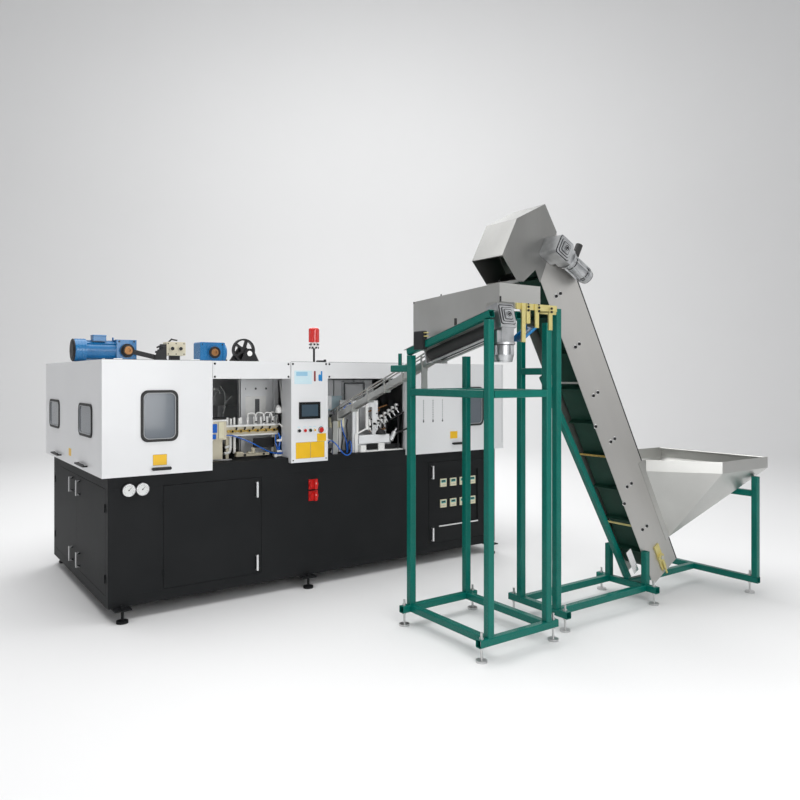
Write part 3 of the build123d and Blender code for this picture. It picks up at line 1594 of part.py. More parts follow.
tray_near = zinc_back - zinc_bar_depth + seat_gap
tray_far = tray_near + tray_depth
with BuildPart() as side_tray:
    for start, end in ((tray_near, tray_near + tray_sheet), (tray_far - tray_sheet, tray_far)):
        slab(Plane(origin=(left, end, 0), x_dir=(1, 0, 0), z_dir=(0, -1, 0)),
             ((tray_start, tray_low), (tray_end, tray_high), (tray_end, tray_high + tray_lip),
              (tray_start, tray_low + tray_lip)), end - start)
    slab(Plane(origin=(left, tray_far, 0), x_dir=(1, 0, 0), z_dir=(0, -1, 0)),
         ((tray_start, tray_low), (tray_end, tray_high), (tray_end, tray_high + tray_sheet),
          (tray_start, tray_low + tray_sheet)), tray_depth)
side_tray.part.label = "side_tray"
export_step(side_tray.part, "parts/side_tray.step")

# Chute: two cheeks that carry the preforms by the neck, guide rods above, ties below, two legs
chute_start = front - roller_plates[1] + plate_run + seat_gap
chute_end = front + chute_end_inside
chute_start_height = roller_height(chute_start) - chute_side_tall / 2
chute_drop = (chute_start_height - chute_end_height) / (chute_end - chute_start)


def chute_height(y):
    return chute_start_height - chute_drop * (y - chute_start)


with BuildPart() as preform_chute:
    cheek = chute_gap / 2 + chute_side
    for x in (nip - cheek, nip + chute_gap / 2):
        slab(Plane(origin=(x, 0, 0), x_dir=(0, 1, 0), z_dir=(1, 0, 0)),
             ((chute_start, chute_start_height - chute_side_tall / 2),
              (chute_end, chute_end_height - chute_side_tall / 2),
              (chute_end, chute_end_height + chute_side_tall / 2),
              (chute_start, chute_start_height + chute_side_tall / 2)), chute_side)
    rod_start = chute_start + chute_rod_start
    for x in (nip - cheek, nip + cheek):
        bar((x, rod_start, chute_height(rod_start) + chute_guide_rise),
            (x, chute_end, chute_end_height + chute_guide_rise), chute_guide_radius)
    for tie in range(chute_tie_count):
        y = chute_start + (tie + 0.5) * (chute_end - chute_start) / chute_tie_count
        z = chute_height(y)
        block((nip - cheek, y, z - chute_side_tall / 2 - chute_tie_drop),
              (nip + cheek, y + chute_tie_size, z - chute_side_tall / 2 + chute_side / 2))
        for x in (nip - cheek - chute_side, nip + cheek):
            block((x, y, z - chute_side_tall / 2 - chute_tie_drop),
                  (x + chute_side, y + chute_tie_size, z + chute_guide_rise))
    leg_near = row_far - chute_tie_size / 2
    block((nip - cheek, leg_near, sorter_ring_height + tube_seat),
          (nip + cheek, leg_near + chute_tie_size, chute_height(leg_near) - chute_side_tall / 2
           + chute_side / 2))
    leg_far = chute_end - chute_leg_inset - chute_tie_size
    block((nip - cheek, leg_far, base_top + seat_gap),
          (nip + cheek, leg_far + chute_tie_size, chute_height(leg_far) - chute_side_tall / 2
           + chute_side / 2))
preform_chute.part.label = "preform_chute"
export_step(preform_chute.part, "parts/preform_chute.step")

# Elevator: its own axes run up the belt and square to it, toward the carrying side
rise_x = head_station - tail_station
rise_z = head_height - tail_height
belt_run = hypot(rise_x, rise_z)
up_x = rise_x / belt_run
up_z = rise_z / belt_run
elevator_middle = front - elevator_centre
plate_near = elevator_middle - elevator_width / 2
plate_far = elevator_middle + elevator_width / 2
half_depth = plate_depth / 2


def elevator_plane(y):
    """The upright plane of the elevator at y: x up the belt, y to the carrying side, normal +Y."""
    return Plane(origin=(left + tail_station, y, tail_height), x_dir=(up_x, 0, up_z),
                 z_dir=(0, 1, 0))


def elevator_point(run, rise, y):
    """A point given along the belt from the tail shaft and square to the belt."""
    return (left + tail_station + run * up_x + rise * up_z, y,
            tail_height + run * up_z - rise * up_x)


def elevator_bar(run, rise, start, end, radius, mode=Mode.ADD):
    bar(elevator_point(run, rise, start), elevator_point(run, rise, end), radius, mode)


with BuildPart() as elevator_chassis:
    side_outline = [(-plate_below_tail, -half_depth), (belt_run + plate_above_head, -half_depth),
                    (belt_run + plate_above_head, half_depth - plate_shoulder_inset),
                    (belt_run + plate_above_head - plate_shoulder / 2, half_depth
                     - plate_shoulder_inset), (belt_run - plate_shoulder, half_depth),
                    (-plate_below_tail, half_depth)]
    for y in (plate_near, plate_far - side_plate):
        slab(elevator_plane(y), side_outline, side_plate)
    for run in tie_rod_stations:
        elevator_bar(run, -tie_rod_rise, plate_near, plate_far, tie_rod_radius)
    bed_top = pulley_drum_radius - seat_gap
    clear = pulley_drum_radius + belt_side_play
    slab(elevator_plane(plate_near), ((clear, bed_top - bed_thickness),
                                      (belt_run - clear, bed_top - bed_thickness),
                                      (belt_run - clear, bed_top), (clear, bed_top)),
         elevator_width)
    for run in (0, belt_run):
        elevator_bar(run, 0, plate_near, plate_far, drum_shaft_radius + running_fit,
                     mode=Mode.SUBTRACT)
elevator_chassis.part.label = "elevator_chassis"
export_step(elevator_chassis.part, "parts/elevator_chassis.step")

# Cleated belt: a closed loop with cleats spaced evenly round it
belt_inner = pulley_drum_radius + belt_gap
belt_outer = belt_inner + belt_thickness
belt_near = plate_near + side_plate + belt_side_play
belt_width = elevator_width - 2 * side_plate - 2 * belt_side_play
half_turn = pi * belt_outer
belt_loop = 2 * belt_run + 2 * half_turn


def cleat_place(travel):
    """Foot and direction of a cleat after a travel round the belt from the tail."""
    if travel < belt_run:
        return travel, 0, pi / 2
    if travel < belt_run + half_turn:
        return belt_run, 0, pi / 2 - (travel - belt_run) / belt_outer
    if travel < 2 * belt_run + half_turn:
        return 2 * belt_run + half_turn - travel, 0, -pi / 2
    return 0, 0, -pi / 2 - (travel - 2 * belt_run - half_turn) / belt_outer


with BuildPart() as elevator_belt:
    with BuildSketch(elevator_plane(belt_near)) as loop:
        with Locations((belt_run / 2, 0)):
            SlotCenterToCenter(belt_run, 2 * belt_outer)
            SlotCenterToCenter(belt_run, 2 * belt_inner, mode=Mode.SUBTRACT)
    extrude(loop.sketch, amount=belt_width)
    for cleat in range(cleat_count):
        run, rise, turn = cleat_place((cleat + 0.5) * belt_loop / cleat_count)
        low = belt_outer - belt_thickness / 2
        high = belt_outer + cleat_height
        corners = [(run + r * cos(turn) - side * cleat_thickness / 2 * sin(turn),
                    rise + r * sin(turn) + side * cleat_thickness / 2 * cos(turn))
                   for r, side in ((low, -1), (high, -1), (high, 1), (low, 1))]
        slab(elevator_plane(belt_near), corners, belt_width)
elevator_belt.part.label = "elevator_belt"
export_step(elevator_belt.part, "parts/elevator_belt.step")


def pulley(run, start, end):
    """Adds a drum between the plates and its shaft from start to end."""
    elevator_bar(run, 0, plate_near + side_plate + drum_side_play,
                 plate_far - side_plate - drum_side_play, pulley_drum_radius)
    elevator_bar(run, 0, start, end, drum_shaft_radius)


with BuildPart() as head_pulley:
    pulley(belt_run, plate_near - head_case_depth / 2, plate_far + shaft_stub)
head_pulley.part.label = "head_pulley"
export_step(head_pulley.part, "parts/head_pulley.step")

with BuildPart() as tail_pulley:
    pulley(0, plate_near - shaft_stub, plate_far + shaft_stub)
tail_pulley.part.label = "tail_pulley"
export_step(tail_pulley.part, "parts/tail_pulley.step")

# Hood over the head: open below round the plates and open at its mouth over the trough
with BuildPart() as elevator_hood:
    hood_near = plate_near - seat_gap - hood_sheet
    hood_width = elevator_width + 2 * (seat_gap + hood_sheet)
    slab(elevator_plane(hood_near), hood_outline, hood_width)
    with BuildSketch(elevator_plane(hood_near + hood_sheet)) as cavity:
        Polygon(*hood_outline, align=None)
        offset(amount=-hood_sheet, kind=Kind.INTERSECTION, mode=Mode.REPLACE)
    extrude(cavity.sketch, amount=hood_width - 2 * hood_sheet, mode=Mode.SUBTRACT)
    for first, last in ((3, 4), (7, 0), (6, 7)):
        ends = [Vector(*hood_outline[first]), Vector(*hood_outline[last])]
        way = (ends[1] - ends[0]).normalized()
        aside = Vector(-way.Y, way.X)
        inset = 2 * hood_sheet if first == 3 else 0
        corners = [ends[0] + way * inset - aside * hood_mouth_overrun,
                   ends[1] - way * inset - aside * hood_mouth_overrun,
                   ends[1] - way * inset + aside * hood_mouth_overrun,
                   ends[0] + way * inset + aside * hood_mouth_overrun]
        slab(elevator_plane(hood_near + hood_sheet), [(c.X, c.Y) for c in corners],
             hood_width - 2 * hood_sheet, mode=Mode.SUBTRACT)
    elevator_bar(belt_run, 0, hood_near, hood_near + hood_width,
                 drum_shaft_radius + stem_play, mode=Mode.SUBTRACT)
elevator_hood.part.label = "elevator_hood"
export_step(elevator_hood.part, "parts/elevator_hood.step")

# Black strips on the carrying edges of both plates
with BuildPart() as edge_strips:
    for y in (plate_near, plate_far - edge_strip_width):
        slab(elevator_plane(y), ((-plate_below_tail, half_depth + seat_gap),
                                 (belt_run - plate_shoulder, half_depth + seat_gap),
                                 (belt_run - plate_shoulder, half_depth + seat_gap
                                  + edge_strip_thickness),
                                 (-plate_below_tail, half_depth + seat_gap
                                  + edge_strip_thickness)), edge_strip_width)
edge_strips.part.label = "edge_strips"
export_step(edge_strips.part, "parts/edge_strips.step")

# Take-ups of the tail shaft: a plate with a boss and a pulling screw on each side
with BuildPart() as take_ups:
    for face, way in ((plate_near - seat_gap, -1), (plate_far + seat_gap, 1)):
        start = min(face, face + way * take_up_plate)
        slab(elevator_plane(start), ((-take_up_length / 2, -take_up_width / 2),
                                     (take_up_length / 2, -take_up_width / 2),
                                     (take_up_length / 2, take_up_width / 2),
                                     (-take_up_length / 2, take_up_width / 2)), take_up_plate)
        elevator_bar(0, 0, face, face + way * 2 * take_up_plate, take_up_boss)
        elevator_bar(0, 0, face, face + way * 2 * take_up_plate,
                     drum_shaft_radius + running_fit, mode=Mode.SUBTRACT)
        middle = face + way * (take_up_plate + take_up_screw_radius)
        bar(elevator_point(-take_up_boss, 0, middle),
            elevator_point(-take_up_boss - take_up_screw_length, 0, middle),
            take_up_screw_radius)
take_ups.part.label = "take_ups"
export_step(take_ups.part, "parts/take_ups.step")

# Head gear motor on the near side, its motor pointing down to the right
with BuildPart() as elevator_gear_motor:
    lean = radians(head_motor_drop)
    case_far = hood_near - seat_gap
    case_middle = case_far - head_case_depth / 2
    centre = Vector(*elevator_point(belt_run, 0, case_middle))
    way = Vector(cos(lean), 0, -sin(lean))
    case_end = centre + way * (head_case_size / 2)
    flat(tuple(centre - way * (head_case_size / 2)), tuple(case_end), head_case_depth,
         head_case_size)
    chamfer(elevator_gear_motor.edges().filter_by(Axis.Y), length=head_case_chamfer)
    flat(tuple(case_end), tuple(case_end + way * head_adaptor), head_adaptor_size,
         head_adaptor_size)
    near_middle = Vector(centre.X, case_far - head_case_depth, centre.Z)
    stepped_cover(Plane(origin=near_middle, x_dir=way, z_dir=(0, -1, 0)), head_case_size)
    barrel = case_end + way * head_adaptor
    flanged_motor(tuple(barrel), tuple(barrel + way * head_motor_length), head_motor_radius)
    aside = Vector(sin(lean), 0, cos(lean))
    knob = centre + way * head_knob_along
    bar(tuple(knob), tuple(knob + aside * head_knob_top), head_knob_radius)
    elevator_bar(belt_run, 0, case_far, plate_near - head_case_depth,
                 drum_shaft_radius + running_fit, mode=Mode.SUBTRACT)
elevator_gear_motor.part.label = "elevator_gear_motor"
export_step(elevator_gear_motor.part, "parts/elevator_gear_motor.step")

# Elevator and hopper stand
post_x = left + elevator_post_station
short_x = left + elevator_right_station
post_near = plate_near - tube_seat
post_far = plate_far + tube_seat
hopper_x = left + hopper_post_station
hopper_near = front - hopper_ahead
hopper_far = front - hopper_far_ahead
band_low = hopper_rim_top - hopper_band
edge_rise = half_depth + edge_strip_thickness + 2 * seat_gap
outer_near = plate_near - seat_gap - hopper_sheet
outer_far = plate_far + seat_gap + hopper_sheet
near_lean = (outer_near - hopper_near) / (band_low - hopper_toe_height)
far_lean = (hopper_far - outer_far) / (band_low - hopper_toe_height)
hopper_post_near = hopper_near + hopper_post_inset
hopper_post_far = hopper_far - hopper_post_inset
elevator_feet = [(x, y) for x in (post_x, short_x)
                 for y in (post_near - elevator_foot_reach, post_far + elevator_foot_reach)]
elevator_feet += [(hopper_x, hopper_near + hopper_foot_inset),
                  (hopper_x, hopper_far - hopper_foot_inset)]
hopper_tops = (band_low - (hopper_post_inset + half_tube) / near_lean - 2 * seat_gap,
               band_low - (hopper_post_inset + half_tube) / far_lean - 2 * seat_gap)

with BuildPart() as elevator_stand:
    for x, top in ((post_x, elevator_post_top), (short_x, elevator_short_post_top)):
        square_tube((x, post_near - elevator_tube_reach, stand_low),
                    (x, post_far + elevator_tube_reach, stand_low), stand_tube)
        for y in (post_near, post_far):
            square_tube((x, y, stand_low_top + weld_gap), (x, y, top), stand_tube)
    square_tube((post_x, post_near + tube_seat, elevator_cross_height),
                (post_x, post_far - tube_seat, elevator_cross_height), stand_tube)
    for y in (post_near, post_far):
        square_tube((post_x + tube_seat, y, stand_low), (short_x - tube_seat, y, stand_low),
                    stand_tube)
    square_tube((short_x + tube_seat, elevator_middle, stand_low),
                (hopper_x - tube_seat, elevator_middle, stand_low), stand_tube)
    square_tube((hopper_x, hopper_near, stand_low), (hopper_x, hopper_far, stand_low), stand_tube)
    for y, top in ((hopper_post_near, hopper_tops[0]), (hopper_post_far, hopper_tops[1])):
        square_tube((hopper_x, y, stand_low_top + weld_gap), (hopper_x, y, top), stand_tube)
    square_tube((hopper_x, hopper_post_near + tube_seat, hopper_beam_height),
                (hopper_x, hopper_post_far - tube_seat, hopper_beam_height), stand_tube)
    brace = Vector(short_x + brace_foot_ahead - post_x - half_tube, 0,
                   stand_low_top - brace_top_height).normalized()
    square_tube((post_x + tube_seat - brace.Z * brace_tube / 2, elevator_middle, brace_top_height),
                (short_x + brace_foot_ahead, elevator_middle,
                 stand_low_top + weld_gap + brace.X * brace_tube / 2), brace_tube)
    for x, y in elevator_feet:
        bar((x, y, stand_low - stand_tube), (x, y, stand_low + stand_tube),
            stand_stem_radius + stem_play, mode=Mode.SUBTRACT)
elevator_stand.part.label = "elevator_stand"
export_step(elevator_stand.part, "parts/elevator_stand.step")

# Feet of both stands: a pad, a stem through the tube and a nut on each side of it
with BuildPart() as stand_feet:
    sorter_feet = [(x, y) for x in (post_left - sorter_foot_reach, post_right + sorter_foot_reach)
                   for y in (row_near, row_far)]
    for x, y in sorter_feet + elevator_feet:
        bar((x, y, 0), (x, y, stand_pad_height), stand_pad_radius)
        bar((x, y, stand_pad_height / 2), (x, y, stand_low_top + stand_stem_above),
            stand_stem_radius)
        for nut in (stand_low - half_tube - stand_nut_height, stand_low_top):
            bar((x, y, nut), (x, y, nut + stand_nut_height), stand_nut_radius)
stand_feet.part.label = "stand_feet"
export_step(stand_feet.part, "parts/stand_feet.step")


# Hopper: a block cut by the planes of its walls, hollowed by the same planes moved in
def edge_x(z):
    """The x of the elevator's carrying edge at a height."""
    return left + tail_station + (edge_rise + (z - tail_height) * up_x) / up_z


def edge_run(z):
    """The same place as a distance along the belt."""
    return (z - tail_height + edge_rise * up_x) / up_z


rim_start = left + hopper_rim_start
rim_end = left + hopper_end
toe_near = (edge_x(hopper_toe_height), outer_near, hopper_toe_height)
toe_far = (edge_x(hopper_toe_height), outer_far, hopper_toe_height)
rim_near = (rim_start, hopper_near, band_low)
rim_far = (rim_start, hopper_far, band_low)
corner_near = (rim_end, hopper_near, band_low)
corner_far = (rim_end, hopper_far, band_low)
hopper_walls = (
    (toe_near, rim_near, (edge_x(band_low), outer_near, band_low)),
    (toe_near, corner_near, rim_near),
    (toe_near, corner_far, corner_near),
    (toe_far, rim_far, corner_far),
    (toe_far, (edge_x(band_low), outer_far, band_low), rim_far),
)


def hopper_body(inset):
    """Adds the block under the rim band, its walls moved in by inset."""
    inside = Vector(rim_start, elevator_middle, band_low)
    block((edge_x(hopper_rim_top) - hopper_band, hopper_near, hopper_toe_height - hopper_band),
          (rim_end, hopper_far, band_low))
    for first, second, third in hopper_walls:
        origin = Vector(*first)
        normal = (Vector(*second) - origin).cross(Vector(*third) - origin).normalized()
        if normal.dot(inside - origin) > 0:
            normal = normal * -1
        split(bisect_by=Plane(origin=origin - normal * inset, z_dir=normal), keep=Keep.BOTTOM)


with BuildPart() as hopper_cavity:
    hopper_body(hopper_sheet)

with BuildPart() as hopper:
    hopper_body(0)
    band_start = edge_x(hopper_rim_top) - 2 * hopper_sheet
    with BuildSketch(Plane.XY.offset(band_low)) as rim:
        Polygon((band_start, outer_near), (edge_x(band_low), outer_near), rim_near[:2],
                corner_near[:2], corner_far[:2], rim_far[:2], (edge_x(band_low), outer_far),
                (band_start, outer_far), align=None)
    extrude(rim.sketch, amount=hopper_band)
    with BuildSketch(Plane.XY.offset(band_low)) as rim_inside:
        add(rim.sketch)
        offset(amount=-hopper_sheet, kind=Kind.INTERSECTION, mode=Mode.REPLACE)
    extrude(rim_inside.sketch, amount=hopper_band, mode=Mode.SUBTRACT)
    add(hopper_cavity.part, mode=Mode.SUBTRACT)
    split(bisect_by=Plane(origin=elevator_point(0, edge_rise, elevator_middle),
                          z_dir=(up_z, 0, -up_x)), keep=Keep.TOP)
    for start in (outer_near, outer_far - hopper_sheet):
        slab(elevator_plane(start),
             ((edge_run(hopper_toe_height), half_depth - hopper_flange),
              (edge_run(hopper_rim_top), half_depth - hopper_flange),
              (edge_run(hopper_rim_top), edge_rise + 1),
              (edge_run(hopper_toe_height), edge_rise + 1)), hopper_sheet)
    bar((rim_end - hopper_roll_radius, hopper_near, hopper_rim_top - hopper_roll_radius),
        (rim_end - hopper_roll_radius, hopper_far, hopper_rim_top - hopper_roll_radius),
        hopper_roll_radius)
hopper.part.label = "hopper"
export_step(hopper.part, "parts/hopper.step")
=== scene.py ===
import math

import bmesh
import bpy
import numpy as np
from mathutils import Matrix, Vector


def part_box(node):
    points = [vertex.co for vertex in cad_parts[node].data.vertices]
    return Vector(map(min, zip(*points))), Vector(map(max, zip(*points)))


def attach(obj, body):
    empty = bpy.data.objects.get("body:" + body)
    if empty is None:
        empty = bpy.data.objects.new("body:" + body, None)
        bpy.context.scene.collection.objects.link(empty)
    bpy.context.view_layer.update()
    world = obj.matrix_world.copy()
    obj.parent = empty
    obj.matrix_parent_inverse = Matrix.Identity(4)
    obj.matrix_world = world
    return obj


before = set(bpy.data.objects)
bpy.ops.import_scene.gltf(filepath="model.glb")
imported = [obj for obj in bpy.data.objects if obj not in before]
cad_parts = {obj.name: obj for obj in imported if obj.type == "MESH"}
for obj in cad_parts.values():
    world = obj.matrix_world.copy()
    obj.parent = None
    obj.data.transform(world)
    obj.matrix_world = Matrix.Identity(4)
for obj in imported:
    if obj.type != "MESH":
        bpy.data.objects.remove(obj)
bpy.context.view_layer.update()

# A linear blow moulding machine with its preform feeder, dressed for a studio picture.
# Places are given as on the drawing: millimetres from the cabinet's left end, from its front
# (plus is into the machine) and from the floor. The function at() turns them into row metres.
mm = 0.001
sheet = 3 * mm
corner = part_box("base_frame")[0]
left_end = corner.x - sheet
front_face = corner.y - sheet

right_way = np.array([1.0, 0.0, 0.0])
into_way = np.array([0.0, 1.0, 0.0])
up_way = np.array([0.0, 0.0, 1.0])
to_operator = -into_way
to_left = -right_way

# Faces that trim stands on and the line of the manifold's fittings, in drawing millimetres
guard_face = -40
guard_end_face = -50
console_face = -50
roof = 1900
manifold_line = 231


def at(x, y, z):
    """A point in row metres from drawing millimetres."""
    return np.array([left_end + x * mm, front_face + y * mm, z * mm])


# Surfaces
def shell(grid):
    """Quads over a grid of points, rows by columns by 3, whose columns close into rings."""
    rows, columns = grid.shape[:2]
    index = np.arange(rows * columns).reshape(rows, columns)
    beside = np.roll(index, -1, axis=1)
    quads = np.stack([index[:-1], beside[:-1], beside[1:], index[1:]], axis=-1)
    return grid.reshape(-1, 3), quads.reshape(-1, 4)


def unit(vector):
    """The vector's direction, one long."""
    vector = np.asarray(vector, float)
    return vector / np.linalg.norm(vector)


def face_ways(out, up=None):
    """Unit vectors out of a face, across it and up it. Across is level unless up is given."""
    out = unit(out)
    if up is not None:
        above = unit(up)
        return out, np.cross(above, out), above
    level = right_way if abs(out[2]) > 0.99 else unit(np.cross(up_way, out))
    return out, level, np.cross(out, level)


def turned(start, profile, sides=28, out=to_operator):
    """A turned form: the profile's (distance, radius) pairs in mm, carried round the axis out.
    Point = start + distance * out + radius * (cos a * across + sin a * up)."""
    out, across, up = face_ways(out)
    along, radius = (np.array(profile, float) * mm).T
    a = np.linspace(0, 2 * np.pi, sides, endpoint=False)
    ring = np.outer(np.cos(a), across) + np.outer(np.sin(a), up)
    return shell(start + along[:, None, None] * out + radius[:, None, None] * ring)


def layered(centre, layers, out, up=None):
    """A form on a face from layers: each is an outline of (across, above) pairs in mm and its
    height off the face."""
    out, across, above = face_ways(out, up)
    grid = [centre + mm * (ring[:, :1] * across + ring[:, 1:] * above + height * out)
            for ring, height in layers]
    return shell(np.array(grid))


def plate_ring(width, tall, round_corner, steps):
    """The outline of a rectangle with round corners: each corner's centre plus an arc."""
    a = np.concatenate([np.linspace(q, q + 1, steps) for q in range(4)]) * np.pi / 2
    side = np.repeat([[1, 1], [-1, 1], [-1, -1], [1, -1]], steps, axis=0)
    middle = side * [width / 2 - round_corner, tall / 2 - round_corner]
    return middle + round_corner * np.stack([np.cos(a), np.sin(a)], axis=1)


def plate(centre, width, tall, thick, round_corner=4.0, edge=0.4, up=None, steps=5,
          out=to_operator):
    """A flat plate on a face: its outline from the face to the eased front edge and on to the
    middle. Sizes are in mm."""
    layers = []
    for spread, inset, height in ((0, 0, 0.0), (1, 0, 0.0), (1, 0, thick - edge),
                                  (1, edge, thick), (0, 0, thick)):
        ring = plate_ring(width - 2 * inset, tall - 2 * inset, max(round_corner - inset, 0.05),
                          steps)
        layers.append((spread * ring, height))
    return layered(centre, layers, out, up)


def cut_plate(centre, outline, thick, edge=0.6, out=to_operator):
    """A plate of any star-shaped outline of (across, above) pairs in mm: from the middle of
    the back to the outline, up to the eased front edge and on to the middle."""
    outline = np.array(outline, float)
    heart = outline.mean(axis=0)
    layers = [(heart + share * (outline - heart), height)
              for share, height in ((0, 0), (1, 0), (1, thick - edge), (0.985, thick), (0, thick))]
    return layered(centre, layers, out)


def framed(centre, width, tall, band, thick, round_corner=20.0, steps=8, up=None,
           out=to_operator):
    """A flat frame on a face: the outline outside, over the front, and the outline less the
    band inside, closed on itself."""
    layers = []
    for inset, height in ((0, 0), (0, thick - 0.4), (0.4, thick), (band - 0.4, thick),
                          (band, thick - 0.4), (band, 0), (0, 0)):
        ring = plate_ring(width - 2 * inset, tall - 2 * inset, max(round_corner - inset, 1), steps)
        layers.append((ring, height))
    return layered(centre, layers, out, up)


def block(low, high, ease=1.0):
    """A box between two drawing corners: a plate laid flat, with eased upright edges."""
    low, high = np.array(low, float), np.array(high, float)
    middle = (low + high) / 2
    wide, deep, tall = high - low
    return plate(at(middle[0], middle[1], low[2]), wide, deep, tall, ease, ease, steps=2,
                 out=up_way)


def beam(start, end, wide, tall, ease=0.8):
    """A flat bar between two drawing points: a plate stood on its end."""
    start, end = at(*start), at(*end)
    length = np.linalg.norm(end - start) / mm
    return plate(start, wide, tall, length, ease, ease, steps=2, out=end - start)


def rod(start, end, radius, ease=0.6):
    """A round bar between two drawing points with eased ends."""
    start, end = at(*start), at(*end)
    length = np.linalg.norm(end - start) / mm
    profile = ((0, 0), (0, radius - ease), (ease, radius), (length - ease, radius),
               (length, radius - ease), (length, 0))
    return turned(start, profile, 20, end - start)


def bent(corners, bend, steps=6):
    """A path through drawing corners, each turned on a parabola: point = (1-t)^2 start +
    2t(1-t) corner + t^2 end, where start and end lie bend mm before and after it."""
    corners = np.array([at(*corner) for corner in corners])
    t = np.linspace(0, 1, steps)[:, None]
    runs = [corners[:1]]
    for before, turn, after in zip(corners, corners[1:], corners[2:]):
        start = turn + unit(before - turn) * bend * mm
        end = turn + unit(after - turn) * bend * mm
        runs.append((1 - t) ** 2 * start + 2 * t * (1 - t) * turn + t ** 2 * end)
    return np.concatenate(runs + [corners[-1:]])


def tube(corners, bend, radius, sides=10):
    """A round bar along a bent path, closed at its ends: each ring is square to the path."""
    path = bent(corners, bend)
    way = np.gradient(path, axis=0)
    way /= np.linalg.norm(way, axis=1)[:, None]
    side = np.cross(way, [0.31, 0.17, 0.93])
    side /= np.linalg.norm(side, axis=1)[:, None]
    other = np.cross(way, side)
    a = np.linspace(0, 2 * np.pi, sides, endpoint=False)
    ring = np.cos(a)[None, :, None] * side[:, None] + np.sin(a)[None, :, None] * other[:, None]
    first = np.repeat(path[:1, None], sides, axis=1)
    last = np.repeat(path[-1:, None], sides, axis=1)
    return shell(np.concatenate([first, path[:, None] + radius * mm * ring, last]))


def hoop(centre, radius, section, sides=36, steps=10, out=to_operator):
    """A round ring: its section's circle carried round the axis out."""
    a = np.linspace(0, 2 * np.pi, steps + 1)
    profile = np.stack([section * np.sin(a), radius + section * np.cos(a)], axis=1)
    return turned(centre, profile, sides, out)


def screw(centre, radius, high=None, out=to_operator):
    """A button screw on a face: a washer and a domed head."""
    high = high or radius * 0.6
    return turned(centre, ((-0.5, 0), (-0.5, radius), (0.8, radius), (0.9, radius * 0.78),
                           (high * 0.7, radius * 0.62), (high, radius * 0.3), (high, 0)), 16, out)


def hexagon(centre, radius, high):
    """A hexagon head with an eased top that looks to the operator."""
    return turned(centre, ((-0.5, 0), (-0.5, radius), (high - 1, radius), (high, radius * 0.86),
                           (high, 0)), 6)


def collar(centre, inside, outside, thick):
    """A ring round a shaft with an eased outer edge."""
    return turned(centre, ((0, inside), (0, outside), (thick - 3, outside),
                           (thick, outside - 4), (thick, inside), (0, inside)))


def hub(centre, thick):
    """A shaft's hub, hollow in the middle of its end."""
    return turned(centre, ((0, 0), (0, 36), (thick - 3, 36), (thick, 32), (thick, 17), (4, 15),
                           (4, 0)))


def boss(centre, reach, radius, out=to_operator):
    """A raised ring on a cover and the pin in its middle."""
    return [hoop(centre, reach, 2.4, out=out),
            turned(centre, ((-0.5, 0), (-0.5, radius), (2, radius), (2, 0)), 16, out)]


def made(name, shells, material, sharp=32):
    """One object from closed shells: doubles merged, faces turned outwards, edges kept sharp."""
    points = np.concatenate([p for p, _ in shells])
    starts = np.cumsum([0] + [len(p) for p, _ in shells[:-1]])
    faces = np.concatenate([f + start for (_, f), start in zip(shells, starts)])
    mesh = bpy.data.meshes.new(name)
    mesh.from_pydata(points, [], faces.tolist())
    work = bmesh.new()
    work.from_mesh(mesh)
    bmesh.ops.remove_doubles(work, verts=work.verts, dist=1e-6)
    bmesh.ops.dissolve_degenerate(work, edges=work.edges, dist=1e-7)
    bmesh.ops.recalc_face_normals(work, faces=work.faces)
    work.to_mesh(mesh)
    work.free()
    mesh.shade_smooth()
    mesh.set_sharp_from_angle(angle=math.radians(sharp))
    thing = bpy.data.objects.new(name, mesh)
    bpy.context.scene.collection.objects.link(thing)
    mesh.materials.append(material)
    return thing


def piece(name, shells, material, body="machine"):
    """A made piece that rides a body, with the finish it is given."""
    thing = made(name, shells, material)
    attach(thing, body)


